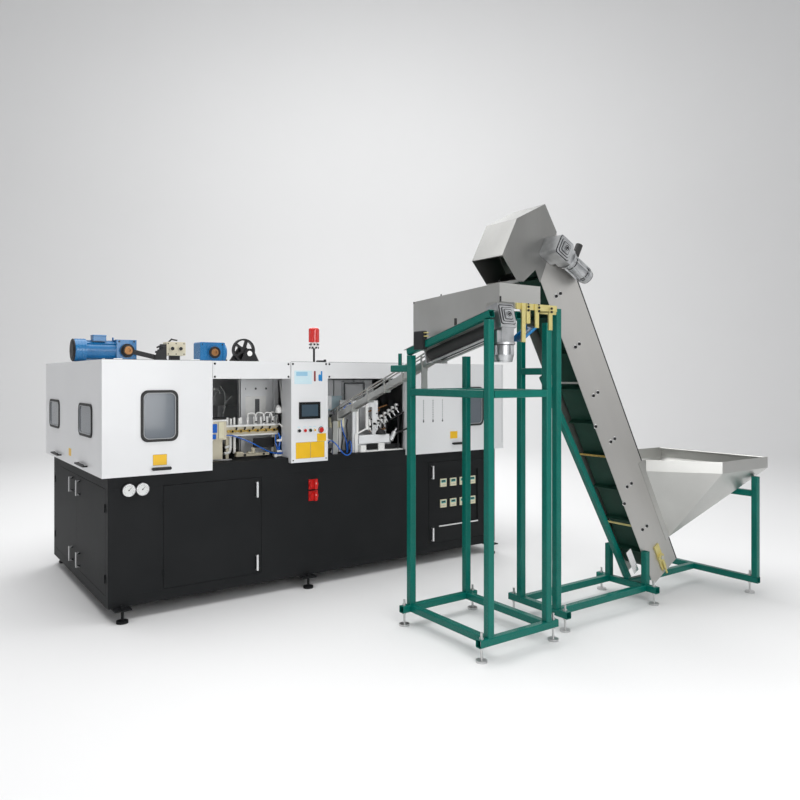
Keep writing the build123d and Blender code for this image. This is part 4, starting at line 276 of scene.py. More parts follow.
# Finishes
def finish(name, colour, other, patch=2.5, grain=350.0, rough=(0.35, 0.5), bump=0.1, metal=0.0,
           coat=0.0, stretch=(1, 1, 1), turn=0.0, **sockets):
    """A finish on Object coordinates: broad noise mixes two near colours, fine noise moves the
    roughness and the bump. stretch draws the noise out along x after turning it about Y."""
    material = bpy.data.materials.new(name)
    material.use_nodes = True
    nodes = material.node_tree.nodes
    link = material.node_tree.links.new
    shader = nodes["Principled BSDF"]
    place = nodes.new("ShaderNodeTexCoord")
    turning = nodes.new("ShaderNodeMapping")
    turning.inputs["Rotation"].default_value = (0, turn, 0)
    scaling = nodes.new("ShaderNodeMapping")
    scaling.inputs["Scale"].default_value = stretch
    link(place.outputs["Object"], turning.inputs["Vector"])
    link(turning.outputs["Vector"], scaling.inputs["Vector"])
    broad = nodes.new("ShaderNodeTexNoise")
    broad.inputs["Scale"].default_value = patch
    broad.inputs["Detail"].default_value = 4
    fine = nodes.new("ShaderNodeTexNoise")
    fine.inputs["Scale"].default_value = grain
    fine.inputs["Detail"].default_value = 2
    for noise in (broad, fine):
        link(scaling.outputs["Vector"], noise.inputs["Vector"])
    spread = nodes.new("ShaderNodeMapRange")
    spread.inputs["From Min"].default_value = 0.375
    spread.inputs["From Max"].default_value = 1.0
    mix = nodes.new("ShaderNodeMix")
    mix.data_type = "RGBA"
    mix.inputs["A"].default_value = (*colour, 1)
    mix.inputs["B"].default_value = (*other, 1)
    link(broad.outputs["Fac"], spread.inputs["Value"])
    link(spread.outputs["Result"], mix.inputs["Factor"])
    link(mix.outputs["Result"], shader.inputs["Base Color"])
    roughness = nodes.new("ShaderNodeMapRange")
    roughness.inputs["From Min"].default_value = 0.3
    roughness.inputs["From Max"].default_value = 0.7
    roughness.inputs["To Min"].default_value = rough[0]
    roughness.inputs["To Max"].default_value = rough[1]
    link(fine.outputs["Fac"], roughness.inputs["Value"])
    link(roughness.outputs["Result"], shader.inputs["Roughness"])
    relief = nodes.new("ShaderNodeBump")
    relief.inputs["Strength"].default_value = bump
    relief.inputs["Distance"].default_value = 0.5 * mm
    link(fine.outputs["Fac"], relief.inputs["Height"])
    link(relief.outputs["Normal"], shader.inputs["Normal"])
    shader.inputs["Metallic"].default_value = metal
    shader.inputs["Coat Weight"].default_value = coat
    for socket, value in sockets.items():
        shader.inputs[socket.replace("_", " ")].default_value = value
    return material


belt_lean = math.atan2(2340, -1290)
brushing = (0.03, 1, 1)
upright_brushing = (1, 1, 0.03)
cabinet_black = finish("cabinet_black", (0.0130, 0.0140, 0.0150), (0.0185, 0.0195, 0.0205),
                       rough=(0.5, 0.64), bump=0.2, grain=420, Specular_IOR_Level=0.12)
guard_white = finish("guard_white", (0.80, 0.805, 0.815), (0.755, 0.76, 0.77), patch=1.2,
                     rough=(0.28, 0.38), bump=0.06, coat=0.1)
stand_green = finish("stand_green", (0.0, 0.118, 0.092), (0.001, 0.150, 0.118), patch=5,
                     rough=(0.24, 0.36), bump=0.12, coat=0.05, Specular_IOR_Level=0.25)
sheet_steel = finish("sheet_steel", (0.58, 0.58, 0.56), (0.46, 0.46, 0.445), patch=3, grain=700,
                     rough=(0.3, 0.46), bump=0.1, metal=1.0, stretch=brushing)
belt_line_steel = finish("belt_line_steel", (0.56, 0.55, 0.53), (0.47, 0.46, 0.44), patch=2,
                         grain=700, rough=(0.36, 0.5), bump=0.08, metal=1.0, stretch=brushing,
                         turn=belt_lean)
# The hood is the same brushed stainless as the chassis, coloured far darker: painted dark
# reflection.
hood_steel_dark_reflection = finish("hood_steel_dark_reflection", (0.29, 0.29, 0.28), (0.21, 0.21, 0.205), patch=4, grain=700,
                    rough=(0.34, 0.48), bump=0.1, metal=1.0, stretch=upright_brushing)
cast_aluminium = finish("cast_aluminium", (0.52, 0.53, 0.54), (0.22, 0.225, 0.23), patch=14,
                        grain=260, rough=(0.3, 0.5), bump=0.3, metal=0.95)
machined_steel = finish("machined_steel", (0.60, 0.60, 0.60), (0.48, 0.48, 0.48), patch=12,
                        grain=500, rough=(0.25, 0.42), bump=0.1, metal=1.0)
clamp_grey = finish("clamp_grey", (0.82, 0.83, 0.84), (0.74, 0.75, 0.76), patch=6,
                    rough=(0.35, 0.5), bump=0.1)
motor_blue = finish("motor_blue", (0.0, 0.135, 0.34), (0.0, 0.18, 0.44), patch=8,
                    rough=(0.22, 0.36), bump=0.2, grain=220, coat=0.3)
manifold_cream = finish("manifold_cream", (0.60, 0.55, 0.42), (0.52, 0.47, 0.35), patch=9,
                        rough=(0.35, 0.5), bump=0.15)
fitting_white = finish("fitting_white", (0.88, 0.88, 0.86), (0.80, 0.80, 0.78), patch=16,
                       rough=(0.3, 0.42), bump=0.05)
zinc_yellow = finish("zinc_yellow", (0.62, 0.53, 0.20), (0.72, 0.66, 0.34), patch=26, grain=300,
                     rough=(0.3, 0.45), bump=0.12, metal=0.6)
brass = finish("brass", (0.60, 0.42, 0.13), (0.48, 0.32, 0.09), patch=20, rough=(0.2, 0.38),
               bump=0.1, metal=1.0)
# Black plastic parts, and also painted shade: the blocks at the left bay's dark lower back.
black_plastic_and_shade = finish("black_plastic_and_shade", (0.011, 0.011, 0.012), (0.018, 0.018, 0.020), patch=10,
                       rough=(0.4, 0.55), bump=0.25, grain=500, Specular_IOR_Level=0.35)
black_gloss = finish("black_gloss", (0.006, 0.006, 0.007), (0.010, 0.010, 0.011), patch=6,
                     rough=(0.16, 0.24), bump=0.03)
# Black for bolts and small fittings, and also painted shade: the recesses under the infeed table
# and the gear cases' grooves.
bolt_and_shade_black = finish("bolt_and_shade_black", (0.010, 0.010, 0.011), (0.016, 0.016, 0.017), patch=30,
                    rough=(0.3, 0.42), bump=0.1, metal=0.4)
signal_red = finish("signal_red", (0.62, 0.014, 0.012), (0.50, 0.010, 0.010), patch=12,
                    rough=(0.18, 0.3), bump=0.05, coat=0.3)
lamp_red = finish("lamp_red", (0.74, 0.02, 0.015), (0.62, 0.012, 0.012), patch=30,
                  rough=(0.12, 0.2), bump=0.05, coat=0.5, Transmission_Weight=0.2)
signal_green = finish("signal_green", (0.06, 0.34, 0.05), (0.05, 0.28, 0.04), patch=20,
                      rough=(0.2, 0.3), bump=0.04)
amber = finish("amber", (0.75, 0.40, 0.02), (0.66, 0.33, 0.02), patch=20, rough=(0.2, 0.3),
               bump=0.04)
ivory = finish("ivory", (0.70, 0.66, 0.48), (0.62, 0.58, 0.41), patch=8, rough=(0.4, 0.5))
controller_teal = finish("controller_teal", (0.05, 0.36, 0.34), (0.04, 0.28, 0.27), patch=10,
                         rough=(0.35, 0.45))
screen_glass = finish("screen_glass", (0.050, 0.078, 0.105), (0.062, 0.092, 0.120), patch=7,
                      rough=(0.14, 0.2), bump=0.01)
window_grey = finish("window_grey", (0.135, 0.155, 0.18), (0.115, 0.135, 0.155), patch=1.5,
                     rough=(0.1, 0.16), bump=0.01, coat=0.2)
# Mid grey for real borders and keys, and also the painted shade inside the guard's vent slots.
border_and_slot_shade_grey = finish("border_and_slot_shade_grey", (0.34, 0.35, 0.36), (0.30, 0.31, 0.32), patch=8,
                     rough=(0.35, 0.5), bump=0.05)
belt_green = finish("belt_green", (0.006, 0.040, 0.026), (0.010, 0.058, 0.038), patch=9,
                    grain=600, rough=(0.45, 0.65), bump=0.3, Specular_IOR_Level=0.3)
rubber_black = finish("rubber_black", (0.014, 0.014, 0.014), (0.024, 0.024, 0.024), patch=9,
                      rough=(0.5, 0.68), bump=0.25)
hose_blue = finish("hose_blue", (0.0, 0.10, 0.50), (0.0, 0.14, 0.60), patch=14,
                   rough=(0.16, 0.26), bump=0.03, coat=0.3)
label_yellow = finish("label_yellow", (0.88, 0.52, 0.012), (0.80, 0.46, 0.01), patch=14,
                      rough=(0.3, 0.42), bump=0.03)
label_edge = finish("label_edge", (0.36, 0.22, 0.01), (0.28, 0.17, 0.01), patch=14,
                    rough=(0.3, 0.42), bump=0.03)
label_pale_blue = finish("label_pale_blue", (0.58, 0.76, 0.83), (0.66, 0.81, 0.86), patch=9,
                         rough=(0.25, 0.35), bump=0.02)
label_sky_blue = finish("label_sky_blue", (0.30, 0.55, 0.72), (0.36, 0.60, 0.76), patch=9,
                        rough=(0.25, 0.35), bump=0.02)
label_blue = finish("label_blue", (0.02, 0.22, 0.55), (0.03, 0.27, 0.62), patch=9,
                    rough=(0.25, 0.35), bump=0.02)
label_red = finish("label_red", (0.26, 0.02, 0.02), (0.20, 0.015, 0.015), patch=9,
                   rough=(0.25, 0.35), bump=0.02)
bronze = finish("bronze", (0.30, 0.15, 0.06), (0.22, 0.11, 0.05), patch=22, rough=(0.3, 0.5),
                bump=0.2, metal=0.9)
dial_white = finish("dial_white", (0.76, 0.77, 0.76), (0.70, 0.71, 0.70), patch=12,
                    rough=(0.25, 0.35), bump=0.02)
stainless_bright = finish("stainless_bright", (0.76, 0.76, 0.76), (0.66, 0.66, 0.66), patch=9,
                          rough=(0.2, 0.3), bump=0.04, metal=1.0)
chrome = finish("chrome", (0.86, 0.86, 0.87), (0.78, 0.78, 0.79), patch=9, rough=(0.14, 0.24),
                bump=0.02, metal=0.7)
wire_grey = finish("wire_grey", (0.30, 0.30, 0.30), (0.22, 0.22, 0.22), patch=12,
                   rough=(0.4, 0.55), bump=0.05)
# Dark grey for real seams and frames, and for painted shade: the shadow under the roof edge and
# the shade in slots and holes.
seam_and_shade_grey = finish("seam_and_shade_grey", (0.10, 0.105, 0.11), (0.08, 0.085, 0.09), patch=12,
                   rough=(0.5, 0.65), bump=0.05)


def dress(node, material, *regions):
    """Gives a CAD node its finish, and other finishes to the faces whose middles lie in a box
    given by two drawing corners."""
    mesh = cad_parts[node].data
    mesh.materials.clear()
    mesh.materials.append(material)
    if not regions:
        return
    middles = np.zeros(len(mesh.polygons) * 3)
    mesh.polygons.foreach_get("center", middles)
    middles = middles.reshape(-1, 3)
    numbers = np.zeros(len(mesh.polygons), np.int32)
    for number, (other, low, high) in enumerate(regions, 1):
        mesh.materials.append(other)
        low, high = at(*low), at(*high)
        numbers[((middles > low) & (middles < high)).all(axis=1)] = number
    mesh.polygons.foreach_set("material_index", numbers)


plain = {
    cabinet_black: ("base_frame", "base_panels", "base_feet"),
    guard_white: ("guard_frame", "guard_panels", "fascia_beams", "left_guard_door",
                  "right_guard_door", "end_guard_door", "console_housing"),
    window_grey: ("left_guard_window", "right_guard_window", "end_guard_windows"),
    black_plastic_and_shade: ("left_guard_fittings", "right_guard_fittings", "end_guard_fittings",
                    "black_button", "edge_strips", "selector_switch", "roof_pulley"),
    black_gloss: ("touch_screen",),
    signal_red: ("red_button", "emergency_button", "isolator_knob_upper",
                 "isolator_knob_lower"),
    motor_blue: ("air_receiver", "side_tray"),
    manifold_cream: ("electrical_backplate",),
    machined_steel: ("roller_carrier", "head_pulley", "tail_pulley", "stand_feet"),
    clamp_grey: ("mould_clamp", "infeed_frame"),
    rubber_black: ("sorter_roller_left", "sorter_roller_right"),
    stand_green: ("sorter_stand", "elevator_stand"),
    sheet_steel: ("preform_chute", "hopper", "sorter_trough"),
    belt_line_steel: ("elevator_chassis",),
    hood_steel_dark_reflection: ("elevator_hood",),
    zinc_yellow: ("zinc_brackets", "take_ups"),
    belt_green: ("elevator_belt",),
    hose_blue: ("air_hoses",),
    ivory: ("temperature_controllers",),
    cast_aluminium: ("sorter_gear_motor",),
}
for material, names in plain.items():
    for name in names:
        dress(name, material)

# Nodes of more than one finish
far_away = 9000
lowest = (-far_away, -far_away, -far_away)
dress("service_door", cabinet_black, (chrome, (1100, -40, 200), (1172, -12, 945)))
dress("electrical_door", cabinet_black, (chrome, (2920, -40, 200), (2970, -12, 945)))
dress("end_door_front", cabinet_black, (chrome, (-40, 890, 200), (-12, 940, 945)))
dress("end_door_rear", cabinet_black, (chrome, (-40, 1160, 200), (-12, 1210, 945)))
dress("beacon_light", lamp_red, (fitting_white, (0, -far_away, roof + 100),
                                 (far_away, far_away, roof + 169)),
      (black_plastic_and_shade, (0, -far_away, 0), (far_away, far_away, roof + 100)))
dress("panel_fittings", signal_red, (black_plastic_and_shade, (0, -200, 880), (300, 50, 1020)))
dress("left_gear_motor", motor_blue,
      (black_plastic_and_shade, lowest, (4, far_away, far_away)),
      (black_plastic_and_shade, (200, 0, 0), (far_away, 1091, far_away)),
      (black_plastic_and_shade, (520, 0, 0), (far_away, far_away, far_away)))
dress("right_gear_motor", motor_blue,
      (black_plastic_and_shade, (1360, 0, 0), (far_away, far_away, far_away)))
dress("roof_valve_block", manifold_cream,
      (black_plastic_and_shade, (0, 0, roof - 10), (far_away, far_away, roof + 70)),
      (black_plastic_and_shade, (0, 0, 0), (far_away, 1144, far_away)))
dress("blow_manifold", manifold_cream,
      (fitting_white, (950, 0, 1362), (1450, far_away, 1445)),
      (brass, (950, 195, 1300), (1450, 209.5, 1358)))
dress("elevator_gear_motor", cast_aluminium,
      (rubber_black, (2660, -2060, 2640), (2780, -1900, 2800)))
dress("elevator_chassis", belt_line_steel,
      (brass, (3120, -1880, 1150), (3170, -1620, 1190)),
      (zinc_yellow, (3430, -1880, 590), (3480, -1620, 630)))


# Guards: window borders, grips, bare plates, slots with painted shade, screws and a painted shadow
# line under the roof edge
def window_ring(name, middle, width, tall, body, out=to_operator):
    """A window's raised black rubber and the thin grey line inside it."""
    rubber_foot = middle + 5 * mm * unit(out)
    piece(name + "_rubber", [framed(rubber_foot, width, tall, 19, 3.5, 62, out=out)],
          rubber_black, body)
    piece(name + "_line", [framed(middle, width - 37, tall - 37, 6, 7.5, 44, out=out)],
          border_and_slot_shade_grey, body)


window_ring("left_window", at(358, guard_face, 1486), 276, 382, "left_guard")
window_ring("right_window", at(3430, guard_face, 1486), 276, 382, "right_guard")
for name, y in (("end_window_front", 470), ("end_window_rear", 1700)):
    window_ring(name, at(guard_end_face, y, 1445), 452, 254, "end_guard", to_left)
piece("left_guard_grip", [
    rod((299, -64, 1095), (437, -64, 1095), 12, 3)
], black_plastic_and_shade, "left_guard")
piece("right_guard_grip", [
    rod((3165, -64, 1131), (3303, -64, 1131), 12, 3)
], black_plastic_and_shade, "right_guard")
piece("end_guard_grips", [
    rod((-74, y - 95, 1095), (-74, y + 95, 1095), 12, 3) for y in (550, 1550)
], black_plastic_and_shade, "end_guard")
piece("guard_plate_edges", [
    framed(at(360, guard_face, 1159), 104, 81, 3, 0.6, 4)
], label_edge, "left_guard")
piece("left_guard_plate", [
    plate(at(360, guard_face, 1159), 100, 77, 0.8)
], label_yellow, "left_guard")
piece("right_guard_plate", [
    plate(at(3187, guard_face, 1214), 92, 70, 0.8)
], label_yellow, "right_guard")
piece("end_guard_plate", [
    plate(at(guard_end_face, 1045, 1150), 96, 62, 0.8, out=to_left)
], label_yellow, "end_guard")
slot_columns = ((2819, 12, 1352, 1556), (2932, 12, 1352, 1566), (3047, 9, 1354, 1562))
slot_step = 22
# The vent slots are not cut: grey plates paint the shade inside each slot, darker plates the shade
# at their lower ends.
piece("guard_slot_shade", [
    plate(at(x, guard_face, z), width, 15, 0.6, 3)
    for x, width, low, high in slot_columns for z in np.arange(low, high, slot_step)
], border_and_slot_shade_grey, "right_guard")
piece("guard_slot_end_shade", [
    plate(at(x, guard_face, 1358), 16, 20, 0.9, 6) for x, *_ in slot_columns
], seam_and_shade_grey, "right_guard")
fascia_places = (
    (784, 1878), (784, 1776), (1416, 1880), (1416, 1776), (1804, 1884), (1804, 1776),
    (2612, 1884), (2612, 1776)
)
piece("fascia_screws", [screw(at(x, guard_face, z), 9) for x, z in fascia_places], bolt_and_shade_black)
piece("console_screws", [
    screw(at(x, console_face, z), 9) for x, z in ((1452, 1882), (1766, 1884))
] + [
    screw(at(x, console_face, z), 6) for x, z in ((1455, 1081), (1766, 1082))
], bolt_and_shade_black)
# Dark strips along the roof's front edge: painted shadow under the roof's lip, not a seal.
piece("roof_edge_shadow_line", [
    block((-44, -36, roof), (760, -30, roof + 3)),
    block((1440, -44, roof), (1780, -38, roof + 3)),
    block((1800, -38, roof), (2590, -32, roof + 3))
], seam_and_shade_grey)

# Console: plates, screen and the buttons' rings
button_row = 1326
low_plates = ((1547, 134), (1684, 130))
piece("console_plates", [
    plate(at(x, console_face, 1160), width, 132, 0.8) for x, width in low_plates
] + [
    plate(at(1722, console_face, 1262), 88, 66, 0.8)
], label_yellow)
piece("console_plate_edges", [
    framed(at(x, console_face, 1160), width + 4, 136, 2.2, 0.6, 4) for x, width in low_plates
], label_edge)
piece("console_upper_plate", [
    plate(at(1547, console_face, 1771), 164, 112, 0.7)
], label_pale_blue)
piece("console_upper_strip", [
    plate(at(1535, console_face - 0.6, 1800), 106, 34, 0.5)
], label_sky_blue)
piece("console_red_bar", [plate(at(1657, console_face, 1781), 17, 88, 0.8, 6)], label_red)
piece("console_blue_bar", [
    plate(at(1722, console_face, 1781), 15, 88, 0.9, 6),
    plate(at(1704, console_face, 1768), 24, 56, 0.8, 9)
], label_blue)
piece("screen_glass", [plate(at(1607, -58, 1493), 154, 98, 0.8, 2)], screen_glass)
piece("button_rings", [
    hoop(at(x, console_face, button_row), 14.5, 2.2) for x in (1507, 1562, 1614)
] + [
    turned(at(1656, console_face, button_row), ((0, 0), (0, 14), (3, 14), (4, 12), (4, 0)))
], chrome)
piece("lamp_button", [
    turned(at(1656, console_face, button_row), ((3, 0), (3, 10), (8, 9.5), (10, 7), (11, 0)))
], amber)
piece("selector_dot", [
    plate(at(1614, -69, 1332), 4, 9, 0.6, 1.5)
], signal_green, "selector_switch")
piece("emergency_collar", [
    turned(at(1717, console_face, button_row),
        ((0, 22), (0, 27), (0.8, 27), (1, 26), (1, 22), (0, 22)))
], black_gloss)
piece("name_strips", [
    plate(at(x, console_face, 1356), 26, 8, 0.6, 1) for x in (1507, 1562, 1614, 1656, 1717)
], label_pale_blue)

# Beacon: vents round its housing, ribs round its lamp and the gland beside it
around = np.linspace(0, 2 * np.pi, 8, endpoint=False)
beacon = at(1690, 25, 0)
housing_radius = 39
upper_row_turn = 0.39
piece("beacon_vents", [
    turned(beacon + mm * np.array([housing_radius * np.cos(a), housing_radius * np.sin(a), high]),
        ((0, 0), (0, 9), (3, 8), (4, 0)), 14, out=np.array([np.cos(a), np.sin(a), 0]))
    for high, first in ((2024, 0), (2052, upper_row_turn)) for a in around + first
], black_plastic_and_shade)
piece("beacon_ribs", [
    hoop(beacon + mm * np.array([0, 0, high]), 45.6, 1.1, 40, 6, out=up_way)
    for high in np.arange(2082, 2178, 12)
], lamp_red)
piece("roof_gland", [
    rod((1722, 30, 1911), (1800, 30, 1911), 7), rod((1800, 30, 1900), (1800, 30, 1925), 11),
    rod((1722, 30, 1900), (1722, 30, 1914), 8)
], black_plastic_and_shade)

# Cabinet: gauges, knob seals and marks, the controllers' faces and the strip below them
dials = [at(x, -22, 949) for x in (143, 241)]
tick_ways = [
    np.cos(t) * right_way + np.sin(t) * up_way for t in np.radians(np.arange(-45, 226, 22.5))
]
needle_way = unit([0.7, 0, 0.7])
dial_front = 0.8 * mm * to_operator
piece("gauge_dials", [
    turned(dial, ((0, 0), (0, 41), (0.8, 41), (0.8, 0)), 40) for dial in dials
], dial_white)
piece("gauge_rings", [hoop(dial, 43, 3.4, 44) for dial in dials], chrome)
piece("gauge_marks", [
    plate(dial + dial_front + 33 * mm * way, 1.8, 9, 0.3, 0.4, up=way, steps=2)
    for dial in dials for way in tick_ways
], black_gloss)
piece("gauge_needles", [
    plate(dial + 1.5 * dial_front + 9 * mm * needle_way, 2.6, 34, 0.5, 0.8, up=needle_way,
        steps=2)
    for dial in dials
] + [
    turned(dial + dial_front, ((0, 0), (0, 5), (2, 4), (2, 0)), 16) for dial in dials
], black_gloss)
knobs = (("isolator_knob_upper", 863), ("isolator_knob_lower", 766))
for body, z in knobs:
    piece("knob_seal", [turned(at(1665, -12, z), ((0, 0), (0, 30), (3, 29), (3, 0)), 32)],
          bolt_and_shade_black)
    piece("knob_mark", [plate(at(1665, -60, z + 12), 4, 14, 0.5, 1)], fitting_white, body)
controllers = [(x, z) for z in (752, 552) for x in (3096, 3219, 3342, 3465)]
piece("controller_windows", [
    plate(at(x, 4, z + 15), 56, 26, 0.8, 2) for x, z in controllers
], controller_teal, "electrical_door")
piece("controller_displays", [
    plate(at(x - 2, 3, z + 17), 40, 13, 0.6, 1) for x, z in controllers
], black_gloss, "electrical_door")
piece("controller_keys", [
    plate(at(x + step, 4, z - 20), 9, 7, 1.2, 2) for x, z in controllers for step in (-18, 0, 18)
], border_and_slot_shade_grey, "electrical_door")
piece("recess_strip", [
    block((3033, -6, 334), (3531, -1, 347))
], stainless_bright, "electrical_door")

# Roof drives: hubs, collars, bolts, the cowl's rim and the terminal box
drive_z = 2005
piece("left_hub_collar", [collar(at(425, 1069, drive_z), 20, 46, 9)], bolt_and_shade_black)
piece("left_hub", [hub(at(425, 1066, drive_z), 15)], bronze)
piece("right_hub_collar", [collar(at(1217, 1089, drive_z), 32, 56, 10)], bolt_and_shade_black)
piece("right_hub", [hub(at(1217, 1089, drive_z), 12)], bronze)
piece("cowl_rim", [hoop(at(2, 1200, drive_z), 90, 8, out=to_left)], black_plastic_and_shade)
piece("cowl_bands", [
    hoop(at(x, 1200, drive_z), 98.4, 1.6, 48, 8, out=right_way) for x in (34, 60, 86)
], motor_blue)
piece("left_terminal_box", [
    block((150, 1140, 2086), (262, 1226, 2132), 5),
    block((146, 1136, 2130), (266, 1230, 2138), 6)
], motor_blue)
piece("left_lifting_eye", [hoop(at(330, 1200, 2106), 14, 4, out=right_way)], motor_blue)
case_bolts = [hexagon(at(x, 1115, z), 8, 6) for x in (362, 488) for z in (1930, 2085)]
case_bolts += [hexagon(at(x, 1115, z), 8, 6) for x in (1105, 1305) for z in (1925, 2080)]
piece("case_bolts", case_bolts, bolt_and_shade_black)
piece("case_ribs", [
    block((1150, 1109, z), (1172, 1116, z + 34), 1.5) for z in (1930, 2040)
] + [
    block((1085, 1107, 1905), (1103, 1116, 2098), 2),
    block((1307, 1107, 1905), (1325, 1116, 2098), 2)
], motor_blue)
piece("valve_coils", [
    block((742, 1138, 1950), (784, 1180, 2056), 4),
    block((742, 1192, 1950), (784, 1240, 2056), 4),
    block((728, 1150, 2056), (800, 1170, 2072), 3),
    beam((742, 1160, 2062), (700, 1160, 2040), 16, 14),
    beam((792, 1160, 2076), (838, 1160, 2124), 16, 12),
    beam((834, 1160, 2118), (886, 1160, 2110), 14, 12),
    rod((684, 1150, 1955), (742, 1150, 1955), 12), rod((684, 1150, 2000), (742, 1150, 2000), 10)
], black_plastic_and_shade)
piece("valve_screws", [
    screw(at(x, 1145, z), 6) for x in (800, 872, 945) for z in (1984, 2080)
], bolt_and_shade_black)
piece("valve_port_rings", [hoop(at(x, 1131, 2033), 21, 4) for x in (834, 911)], manifold_cream)
piece("valve_foot", [block((798, 1040, 1900), (968, 1130, 1908), 2)], label_pale_blue)
piece("roof_studs", [
    rod((x, 30, 1899), (x, 30, 1913), 6) for x in (905, 940, 975, 1012, 1050)
], bolt_and_shade_black)
piece("pulley_bracket", [
    cut_plate(at(1600, 1170, 1985),
        ((-104, -85), (112, -85), (60, 20), (28, 66), (-28, 66), (-58, 20)), 9)
], black_plastic_and_shade)
piece("pulley_cap", [
    turned(at(1600, 1161, 2003), ((0, 0), (0, 26), (3, 26), (5, 20), (5, 0)), 28)
], fitting_white)
piece("pulley_bracket_bolts", [
    hexagon(at(x, 1161, 1922), 8, 6) for x in (1530, 1676)
], machined_steel)

# Left bay: posts, fittings and hoses over the manifold, and what stands under it
fitting_places = [1024, 1097, 1171, 1246, 1322, 1396]
hose_places = [1171, 1246, 1322, 1372]
piece("bay_posts", [
    block((1185, 436, 1104), (1231, 450, 1756), 2),
    block((1505, 436, 1104), (1554, 450, 1756), 2)
], fitting_white)
piece("bay_panel", [block((1228, 440, 1597), (1452, 446, 1748), 2)], clamp_grey)
piece("bay_lower_panel", [block((1240, 432, 1439), (1433, 440, 1605), 2)], fitting_white)
# The panel's slot and round holes are not cut: dark plates paint the shade inside them.
piece("bay_panel_slot_shade", [
    block((1329, 428, 1449), (1371, 433, 1582), 2)
] + [
    turned(at(x, 440, 1672), ((-0.5, 0), (-0.5, 10), (2, 9), (2, 0)), 16)
    for x in (1240, 1340, 1438)
], seam_and_shade_grey)
cone = ((0, 0), (0, 17), (12, 17), (16, 12), (52, 9), (58, 12), (66, 12), (70, 8), (70, 0))
piece("fitting_cones", [
    turned(at(x, manifold_line, 1362), cone, 18, out=up_way) for x in fitting_places + [1440]
], fitting_white)
piece("fitting_hoses", [
    tube(((x, manifold_line, 1428), (x + 4, 226, 1476), (x + 62, 214, 1470), (x + 66, 200, 1395)),
        24, 6)
    for x in hose_places
], fitting_white)
piece("hose_nuts", [
    turned(at(x + 66, 200, 1390), ((0, 0), (0, 9), (14, 9), (14, 0)), 12, out=up_way)
    for x in hose_places
], bolt_and_shade_black)
piece("manifold_rail", [
    block((960, 196, 1362), (1445, 206, 1378), 1.5),
    block((955, 192, 1286), (1445, 209, 1298), 1.5)
], fitting_white)
piece("manifold_brass", [
    rod((x, 209, 1326), (x, 190, 1326), 15) for x in fitting_places
] + [
    block((1000, 202, 1318), (1440, 209, 1334), 1)
], brass)
piece("manifold_ports", [
    rod((x, 192, 1326), (x, 187, 1326), 9) for x in fitting_places
] + [
    rod((x + 36, 203, 1340), (x + 36, 199, 1340), 7) for x in fitting_places
] + [
    rod((x, 196, 1352), (x, 190, 1352), 8) for x in (1060, 1135, 1210, 1290, 1360)
], bolt_and_shade_black)
piece("stack_cover", [
    block((796, 84, 1420), (936, 216, 1432), 2), block((800, 84, 1268), (818, 92, 1422), 2)
], fitting_white)
piece("stack_coils", [
    block((806, 78, 1330), (850, 90, 1400), 4), block((806, 78, 1280), (842, 90, 1318), 4)
], hose_blue)
piece("stack_panel", [block((862, 82, 1284), (906, 90, 1412), 2)], ivory)
piece("stack_top_clip", [block((804, 90, 1436), (928, 150, 1452), 3)], bolt_and_shade_black)
wires = [
    (((1021, 450, 1700), (1057, 440, 1635), (1054, 430, 1561), (1050, 425, 1515),
        (1030, 420, 1448)), 18),
    (((1119, 440, 1611), (1085, 436, 1580), (1054, 430, 1555), (1050, 430, 1500)), 14),
    (((1000, 450, 1680), (985, 446, 1640), (960, 440, 1618), (968, 440, 1560)), 14),
    (((940, 450, 1690), (975, 448, 1672), (1005, 446, 1668), (1015, 440, 1630)), 12)
]
piece("bay_wires", [tube(corners, bend, 3.6, 8) for corners, bend in wires], wire_grey)
piece("wire_clips", [
    rod((x, 440, z - 8), (x, 440, z + 8), 9) for x, z in ((1052, 1520), (962, 1673))
], fitting_white)
piece("air_valve_body", [
    turned(at(1416, 150, 1465), ((0, 0), (0, 20), (14, 27), (48, 25), (66, 12), (74, 0)), 22,
        out=up_way)
], fitting_white)
piece("air_valve_collar", [
    hoop(at(1416, 150, 1462), 24, 6, out=up_way), rod((1416, 150, 1380), (1416, 150, 1460), 8)
], bolt_and_shade_black)
piece("air_valve_tubes", [
    tube(((1440, 150, 1470), (1466, 160, 1500), (1470, 190, 1560), (1470, 230, 1750)), 30, 7),
    tube(((1416, 140, 1380), (1440, 130, 1360), (1450, 130, 1290), (1430, 128, 1240)), 18, 6)
], fitting_white)
piece("under_legs", [
    rod((1020, manifold_line, 1182), (1020, manifold_line, 1286), 12),
    rod((1056, manifold_line, 1140), (1056, manifold_line, 1286), 12),
    rod((1400, manifold_line, 1137), (1400, manifold_line, 1286), 11),
    tube(((1020, manifold_line, 1190), (1014, 228, 1152), (962, 220, 1146)), 16, 12, 12)
], fitting_white)
piece("lower_rail", [
    block((1046, 170, 1118), (1344, 206, 1140), 4),
    block((1046, 160, 1138), (1110, 206, 1156), 5),
    block((1150, 164, 1138), (1190, 206, 1152), 4),
    rod((1199, 180, 1140), (1199, 180, 1186), 18)
], manifold_cream)
piece("lower_rail_joint", [
    rod((1290, 168, 1129), (1290, 160, 1129), 9), rod((1120, 168, 1129), (1120, 160, 1129), 11),
    block((1210, 190, 1180), (1400, 210, 1262), 3)
], bolt_and_shade_black)
piece("side_fittings", [
    rod((1392, 128, z), (1434, 128, z), 10) for z in (1238, 1147)
] + [
    rod((1360, 120, 1112), (1434, 120, 1112), 9), rod((1378, 122, 1126), (1378, 122, 1098), 12),
    rod((960, 200, 1196), (1000, 200, 1206), 9)
], fitting_white)
